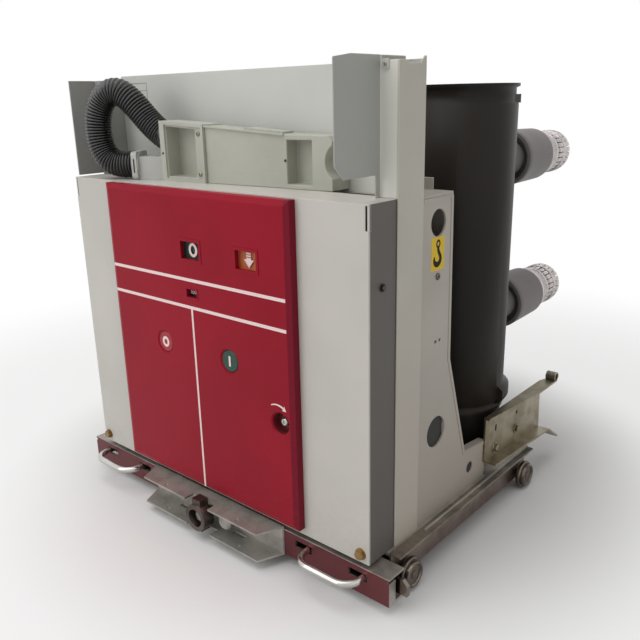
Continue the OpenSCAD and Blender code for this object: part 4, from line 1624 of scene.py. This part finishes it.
@dataclass
class Fasteners:
    """The screws and bolts that show."""

    shop: Workshop
    datum: Datum
    rail_bolt: HexBolt = HexBolt()
    rail_bolts_at: Sequence[Point2] = ((328.0, 38.0), (400.0, 44.0))
    rail_bolt_turns: Sequence[float] = (12.0, 32.0)
    rail_t: float = 3.0
    housing_bolt: HexBolt = HexBolt(flats=7.0, head=3.0, washer_r=5.4, washer_t=1.0)
    housing_bolt_at: Point2 = (26.0, 363.0)
    label_screw: PanScrew = PanScrew(4.6, 2.4)
    label_screw_at: Point2 = (146.5, 352.5)
    tab: Point2 = (9.0, 11.0)
    tab_t: float = 2.0
    tab_at: Point3 = (278.0, 54.0, 609.0)
    tab_screw: PanScrew = PanScrew(2.2, 1.2)

    def build(self) -> None:
        """Puts the fasteners on both sides and the screwed tab on the right upright."""
        for side, facing, way in SIDES:
            self._side(side, facing, way)
        x, y, z = self.tab_at
        tab = Shape().plate(rounded(*self.tab, 1.0), 0.0, self.tab_t, 0.4)
        self.shop.piece("upright_tab", tab, self.datum.seat(self.tab_at, Facing.FRONT), Finishes.GLAND)
        seat = self.datum.seat((x, y - self.tab_t, z), Facing.FRONT)
        self.shop.piece("upright_tab_screw", self.tab_screw.shape(), seat, Finishes.ZINC)

    def _side(self, side: str, facing: Facing, way: int) -> None:
        """Puts the bolts on one side's rail, housing and frame.

        Args:
            side: The side's name.
            facing: The way that the side looks.
            way: Its sign on x.
        """
        outer = way * self.datum.half_width(f"frame_side_{side}")
        for k, (place, turn) in enumerate(zip(self.rail_bolts_at, self.rail_bolt_turns)):
            seat = self.datum.seat((outer + way * self.rail_t, *place), facing, turn=turn)
            self.shop.piece(f"rail_bolt_{side}_{k + 1}", self.rail_bolt.shape(), seat, Finishes.YELLOW_ZINC)
        edge = way * self.datum.half_width("housing_front")
        seat = self.datum.seat((edge, *self.housing_bolt_at), facing, turn=9.0)
        self.shop.piece(f"housing_bolt_{side}", self.housing_bolt.shape(), seat, Finishes.DARK_SCREW_AND_SHADE)
        seat = self.datum.seat((outer, *self.label_screw_at), facing, turn=31.0)
        self.shop.piece(f"label_screw_{side}", self.label_screw.shape(), seat, Finishes.RING_ZINC)


@dataclass
class SideHems:
    """The hemmed edge round each frame side, and dark sheets of painted shade behind its hand hole and in its
    foot hole.
    """

    shop: Workshop
    datum: Datum
    edge: Sequence[Point2] = ((110.0, 455.0), (180.0, 455.0), (184.0, 230.0), (236.0, 68.0), (300.0, 61.0))
    width: float = 5.0
    inset: float = 3.2
    least_mitre: float = 0.4
    rise: float = 0.9
    hole_shade_box: tuple[float, float, float, float] = (122.0, 190.0, 95.0, 167.0)
    hole_shade_corner: float = 2.0
    hole_shade_t: float = 1.0
    hole_shade_in: float = 4.1
    foot_hole: Point2 = (253.0, 33.5)
    foot_shade_r: float = 8.95
    foot_shade_t: float = 1.0
    foot_shade_in: float = 2.8

    def build(self) -> None:
        """Hems both sides and puts painted shade in the hand holes and the foot holes."""
        front, back, low, high = self.hole_shade_box
        for side, facing, way in SIDES:
            outer = self.datum.half_width(f"frame_side_{side}")
            line = [(way * y, z) for y, z in self._inside()]
            hem = Shape().ribbon(line, [self.width] * len(line), 0.0, self.rise)
            seat = self.datum.seat((way * outer, 0.0, 0.0), facing)
            self.shop.piece(f"side_hem_{side}", hem, seat, Finishes.FRAME, slot="housing_paint")
            # painted shade: a dark panel behind the hand hole and a dark disc in the foot hole
            hole_shade_sheet = Shape().plate(rounded(back - front, high - low, self.hole_shade_corner), 0.0, self.hole_shade_t)
            middle = (way * (outer - self.hole_shade_in), (front + back) / 2, (low + high) / 2)
            self.shop.piece(f"dark_painted_shade_{side}", hole_shade_sheet, self.datum.seat(middle, facing), Finishes.DARK_SHADE)
            radius, thick = self.foot_shade_r, self.foot_shade_t
            plug = Shape().turned([(radius, 0.0), (radius, thick), (0.0, thick)])
            seat = self.datum.seat((way * (outer - self.foot_shade_in), *self.foot_hole), facing)
            self.shop.piece(f"foot_hole_shade_{side}", plug, seat, Finishes.DARK_SHADE)

    def _inside(self) -> list[Point2]:
        """Gives the edge's line moved inwards by the inset, mitred at its corners.

        Returns:
            The line's points.
        """
        moved: list[Point2] = []
        for i, (y, z) in enumerate(self.edge):
            before = Vector(self.edge[max(i - 1, 0)])
            after = Vector(self.edge[min(i + 1, len(self.edge) - 1)])
            here = Vector((y, z))
            into = (here - before).normalized() if i else (after - here).normalized()
            out = (after - here).normalized() if i < len(self.edge) - 1 else into
            mean = (into + out).normalized()
            stretch = self.inset / max(self.least_mitre, mean.dot(into))
            moved.append((y + mean.y * stretch, z - mean.x * stretch))
        return moved


@dataclass
class HousingLid:
    """The lip of the housing's lid over the frame, and the folded tabs in its upper front corners."""

    shop: Workshop
    datum: Datum
    lip: Point2 = (564.0, 17.0)
    lip_t: float = 3.8
    lip_corner: float = 0.5
    soft: float = 0.4
    seam_w: float = 9.0
    seam_short: float = 2.0
    seam_shade_t: float = 0.08
    fold: Point2 = (2.3, 27.9)
    fold_d: float = 4.0
    fold_back: float = 0.8
    fold_drop: float = 16.0
    gap: float = 0.05

    def build(self) -> None:
        """Makes the lip, a dark strip of painted shade at its rear edge and a tab in the outer half of each
        corner's cut.
        """
        low, high = self.datum.inside("housing_front")
        width, depth = self.lip
        lip = Shape().plate(rounded(width, depth, self.lip_corner), 0.0, self.lip_t, self.soft)
        base = high.z - self.lip_t - 2 * self.gap
        seat = self.datum.seat((0.0, high.y + self.gap + depth / 2, base), Facing.UP)
        self.shop.piece("housing_lip", lip, seat, Finishes.HOUSING, slot="housing_paint")
        # painted shade: a dark strip along the lid's rear edge
        seam = Shape().plate(rounded(width - self.seam_short, self.seam_w, self.soft), 0.0, self.seam_shade_t)
        seat = self.datum.seat((0.0, high.y + depth - self.seam_w / 2, base + self.lip_t), Facing.UP)
        self.shop.piece("housing_lip_seam_shade", seam, seat, Finishes.DARK_SHADE)
        for side, _, way in SIDES:
            tab = Shape().plate(rounded(*self.fold, self.soft), 0.0, self.fold_d)
            x = way * (high.x - self.fold[0] / 2 - self.gap)
            y = low.y + self.fold_d + self.fold_back
            seat = self.datum.seat((x, y, high.z - self.fold_drop), Facing.FRONT)
            self.shop.piece(f"corner_fold_{side}", tab, seat, Finishes.HOUSING, slot="housing_paint")


@dataclass
class RailRidges:
    """The low guide ridges along the truck rails' lips."""

    shop: Workshop
    datum: Datum
    x: float = 306.0
    width: float = 2.4
    corner: float = 0.6
    rise: float = 2.6
    soft: float = 0.5
    start: float = 112.0
    end_gap: float = 2.0

    def build(self) -> None:
        """Lays one ridge on each rail, from behind the front wheel to the rail's end."""
        for side, _, way in SIDES:
            _, high = self.datum.inside(f"truck_rail_{side}")
            length = high.y - self.end_gap - self.start
            seat = self.datum.seat((way * self.x, self.start + length / 2, high.z), Facing.UP)
            shape = Shape().plate(rounded(self.width, length, self.corner), 0.0, self.rise, self.soft)
            self.shop.piece(f"rail_ridge_{side}", shape, seat, Finishes.ZINC, slot="zinc_plate")


@dataclass
class ShutterTips:
    """The curled ends of the shutter rails' upper flanges."""

    shop: Workshop
    datum: Datum
    outer_r: float = 8.0
    wall: float = 2.6
    soft: float = 0.6
    length: float = 17.0
    start: float = 299.0
    y: float = 509.5
    z: float = 105.0

    def build(self) -> None:
        """Rolls one curl on each side."""
        outer, inner = self.outer_r, self.outer_r - self.wall
        far, soft = self.length, self.soft
        near_rim = [(inner, 0.0), (outer, 0.0)]
        far_rim = [(outer, far - soft), (outer - soft, far), (inner + soft, far), (inner, far - soft)]
        for side, facing, way in SIDES:
            seat = self.datum.seat((way * self.start, self.y, self.z), facing)
            shape = Shape().turned([*near_rim, *far_rim], 32, loop=True)
            self.shop.piece(f"shutter_tip_{side}", shape, seat, Finishes.YELLOW_ZINC, slot="rail_zinc")


@dataclass
class PartitionPlate:
    """The bare printed frame in the partition's upper left corner."""

    shop: Workshop
    datum: Datum
    x: float = -252.0
    z: float = 591.5
    width: float = 52.0
    height: float = 24.0
    corner: float = 1.0
    inner_corner: float = 0.4
    line: float = 1.3
    rule_half: float = 0.5
    ink: float = 0.15

    def build(self) -> None:
        """Prints the frame and one line through it."""
        low, _ = self.datum.inside("partition_plate")
        seat = self.datum.seat((self.x, low.y, self.z), Facing.FRONT)
        outer = rounded(self.width, self.height, self.corner)
        inner = rounded(self.width - 2 * self.line, self.height - 2 * self.line, self.inner_corner)
        shape = Shape().frame(outer, inner, 0.0, self.ink)
        half, thin = self.width / 2 - self.line, self.rule_half
        shape.plate([(-half, -thin), (half, -thin), (half, thin), (-half, thin)], 0.0, self.ink)
        self.shop.piece("partition_frame", shape, seat, Finishes.GREY_INK)


@dataclass
class Studio:
    """A pale floor, soft light and the camera of the photograph."""

    datum: Datum
    eye: Point3 = (768.6, -629.3, 574.4)
    yaw: float = 41.08
    pitch: float = 17.16
    roll: float = 1.27
    focal_px: float = 718.8
    image_px: float = 640.0
    sensor: float = 36.0
    lamps: Sequence[tuple[str, Point3, float, float]] = field(
        default_factory=lambda: [
            ("lamp_over", (-0.3, -1.0, 3.2), 3.2, 50.0),
            ("lamp_right", (3.4, -0.6, 1.9), 2.4, 4.0),
            ("lamp_front", (-1.2, -3.4, 1.9), 2.6, 35.0),
        ]
    )
    aim: Point3 = (0.0, 0.0, 0.35)
    floor_w: float = 16000.0
    floor_corner: float = 4000.0
    floor_z: Point2 = (-4.0, -0.2)
    floor_tones: tuple[Colour, Colour] = ((0.86, 0.86, 0.86), (0.84, 0.84, 0.845))
    near_haze: tuple[float, float, float] = (0.12, 0.42, 0.62)
    far_haze: tuple[float, float, float] = (0.45, 2.2, 0.38)
    room_tint: Colour = (1.0, 0.985, 0.96)
    room_light: float = 0.37

    def build(self) -> None:
        """Sets the whole stage."""
        bpy.context.scene.view_settings.view_transform = "Standard"
        self._camera()
        self._floor()
        self._world()
        for lamp in self.lamps:
            self._lamp(*lamp)

    def _camera(self) -> None:
        """Stands the camera where the photograph was taken."""
        yaw, pitch, roll = (math.radians(a) for a in (self.yaw, self.pitch, self.roll))
        ahead = Vector((-math.sin(yaw) * math.cos(pitch), math.cos(yaw) * math.cos(pitch), -math.sin(pitch)))
        level = Vector((math.cos(yaw), math.sin(yaw), 0.0))
        down = ahead.cross(level)
        right = level * math.cos(roll) + down * math.sin(roll)
        low = down * math.cos(roll) - level * math.sin(roll)
        data = bpy.data.cameras.new("camera")
        data.sensor_width = self.sensor
        data.lens = self.focal_px / self.image_px * self.sensor
        made = bpy.data.objects.new("camera", data)
        axes = Matrix((right, -low, -ahead)).transposed().to_4x4()
        made.matrix_world = Matrix.Translation(self.datum.at(self.eye)) @ axes
        bpy.context.scene.collection.objects.link(made)
        bpy.context.scene.camera = made

    def _floor(self) -> None:
        """Lays a wide pale floor, which pales to white away from the breaker and keeps its shadow."""
        shape = Shape().plate(rounded(self.floor_w, self.floor_w, self.floor_corner, 12), *self.floor_z)
        mesh = shape.finished("floor", Matrix.Identity(4), 30.0)
        graph = Graph("floor_pale")
        cloud = graph.noise(3.0, 2.0)
        graph.dress(
            Base_Color=graph.mix(cloud, *self.floor_tones),
            Roughness=0.9,
            Specular_IOR_Level=0.1,
        )
        out_x, out_y, _ = graph.along()
        reach = out_x * out_x + out_y * out_y
        near, far = (reach.between(low, high) * share for low, high, share in (self.near_haze, self.far_haze))
        haze = near + far
        white = graph.node("ShaderNodeEmission", {}, {"Color": WHITE, "Strength": 1.0})
        shown = graph.node(
            "ShaderNodeMixShader",
            {},
            {0: graph.backdrop_rays() * haze, 1: graph.shader.outputs[0], 2: white.outputs[0]},
        )
        graph.feed(graph.out.inputs["Surface"], shown.outputs[0])
        mesh.materials.append(graph.material)
        floor = bpy.data.objects.new("floor", mesh)
        bpy.context.scene.collection.objects.link(floor)
        floor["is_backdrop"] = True

    def _world(self) -> None:
        """Makes a white room that lights the breaker softly."""
        world = bpy.data.worlds.new("white_room")
        bpy.context.scene.world = world
        world.use_nodes = True
        wiring = Wiring(world.node_tree)
        soft = {"Color": self.room_tint, "Strength": self.room_light}
        light = wiring.node("ShaderNodeBackground", {}, soft)
        seen = wiring.node("ShaderNodeBackground", {}, {"Color": WHITE, "Strength": 1.0})
        room = wiring.node(
            "ShaderNodeMixShader", {}, {0: wiring.backdrop_rays(), 1: light.outputs[0], 2: seen.outputs[0]}
        )
        wiring.node("ShaderNodeOutputWorld", {}, {"Surface": room.outputs[0]})

    def _lamp(self, name: str, place: Point3, size: float, watts: float) -> None:
        """Hangs a square lamp that looks at the breaker.

        Args:
            name: Its name.
            place: Where it hangs, in metres.
            size: Its side in metres.
            watts: Its power.
        """
        data = bpy.data.lights.new(name, "AREA")
        data.shape = "SQUARE"
        data.size = size
        data.energy = watts
        made = bpy.data.objects.new(name, data)
        made.location = place
        made.rotation_mode = "QUATERNION"
        made.rotation_quaternion = (Vector(self.aim) - Vector(place)).to_track_quat("-Z", "Y")
        bpy.context.scene.collection.objects.link(made)


@dataclass
class FrameDressing:
    """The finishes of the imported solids, and the rounds on their edges."""

    shop: Workshop
    nodes: dict[str, bpy.types.Object]
    finishes: dict[str, Finishes] = field(
        default_factory=lambda: {
            "truck_deck": Finishes.ZINC,
            "truck_rail": Finishes.RAIL_ZINC,
            "nut_plate": Finishes.ZINC,
            "rear_crossbar": Finishes.ZINC,
            "racking_beam": Finishes.BEAM_ZINC,
            "crank_channel": Finishes.ZINC,
            "crank_ring": Finishes.RING_ZINC,
            "guide_bar": Finishes.SHAFT,
            "racking_screw": Finishes.SHAFT,
            "handle": Finishes.CHROME,
            "wheel": Finishes.WHEEL,
            "housing_front": Finishes.HOUSING,
            "upright_right": Finishes.UPRIGHT,
            "upright_left": Finishes.SHADED_LEFT_UPRIGHT,
            "partition_plate": Finishes.PARTITION,
            "frame_side": Finishes.FRAME,
            "back_plate": Finishes.FRAME,
            "top_plate": Finishes.FRAME,
            "front_cover": Finishes.COVER,
            "state_indicator": Finishes.GREEN_FLAG,
            "spring_indicator": Finishes.ORANGE_FLAG,
            "operation_counter": Finishes.COUNTER,
            "open_button": Finishes.RED_BUTTON,
            "close_button": Finishes.GREEN_BUTTON,
            "charging_shaft": Finishes.SHAFT,
            "earth_bolts": Finishes.BRASS,
            "pole": Finishes.RESIN,
            "arm": Finishes.SLEEVE,
            "tulip": Finishes.SILVERED,
            "shutter_rail": Finishes.YELLOW_ZINC,
            "plug": Finishes.PLUG,
            "hose_elbow": Finishes.GLAND,
            "hose": Finishes.HOSE,
        }
    )
    rounds: dict[str, float] = field(
        default_factory=lambda: {
            "housing_front": 1.0,
            "upright": 0.9,
            "frame_side": 2.4,
            "top_plate": 0.8,
            "back_plate": 0.8,
            "partition_plate": 0.6,
            "front_cover": 0.8,
            "racking_beam": 1.0,
            "crank_channel": 0.6,
            "crank_ring": 1.0,
            "truck_rail": 0.8,
            "shutter_rail": 0.7,
            "plug": 1.2,
            "hose_elbow": 1.2,
        }
    )
    weld: float = 0.01
    flat_angle: float = 0.4
    edge_angle: float = 40.0
    edge_steps: int = 2

    def build(self) -> None:
        """Gives each solid its finish and, where it has one, its rounded edges."""
        for name, node in self.nodes.items():
            kind = max((k for k in self.finishes if name.startswith(k)), key=len)
            node.data.materials.clear()
            node.data.materials.append(self.shop.material(self.finishes[kind]))
            width = next((w for k, w in self.rounds.items() if name.startswith(k)), 0.0)
            self._shade(node, width)
            LOG.info("%s is finished in %s", name, self.finishes[kind].value.name)

    def _shade(self, node: bpy.types.Object, width: float) -> None:
        """Welds a solid's facets and rounds its edges.

        Args:
            node: The solid.
            width: Width of the rounds in millimetres, 0 for none.
        """
        weld = node.modifiers.new("weld", "WELD")
        weld.merge_threshold = self.weld * MM
        if width:
            flat = node.modifiers.new("flat", "DECIMATE")
            flat.decimate_type = "DISSOLVE"
            flat.angle_limit = math.radians(self.flat_angle)
            edge = node.modifiers.new("rounds", "BEVEL")
            edge.width = width * MM
            edge.segments = self.edge_steps
            edge.limit_method = "ANGLE"
            edge.angle_limit = math.radians(self.edge_angle)
            edge.use_clamp_overlap = True
            edge.harden_normals = False


def report(pieces: Iterable[bpy.types.Object]) -> None:
    """Logs how many pieces are shown."""
    LOG.info("%d pieces are shown", len(list(pieces)))


def main() -> None:
    """Loads the frame, dresses it and reports the pieces."""
    logging.basicConfig(level=logging.INFO, format="%(name)s: %(message)s")
    for kept in list(bpy.data.objects):
        bpy.data.objects.remove(kept)
    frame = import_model()
    low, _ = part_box("housing_front")
    datum = Datum(front=low.y, base=low.z)
    shop = Workshop()
    Studio(datum).build()
    place = PlugPlace(datum.inside("housing_front")[1].z)
    ControlHose(shop, datum, place).build()
    PlugTrim(shop, datum, place).build()
    FrameDressing(shop, frame["nodes"]).build()
    fittings = (
        CoverFace, LiftingLabel, GarterSprings, Fasteners, SideHems,
        HousingLid, RailRidges, ShutterTips, PartitionPlate,
    )
    for fitting in fittings:
        fitting(shop, datum).build()
    report(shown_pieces())


if __name__ == "__main__":
    main()
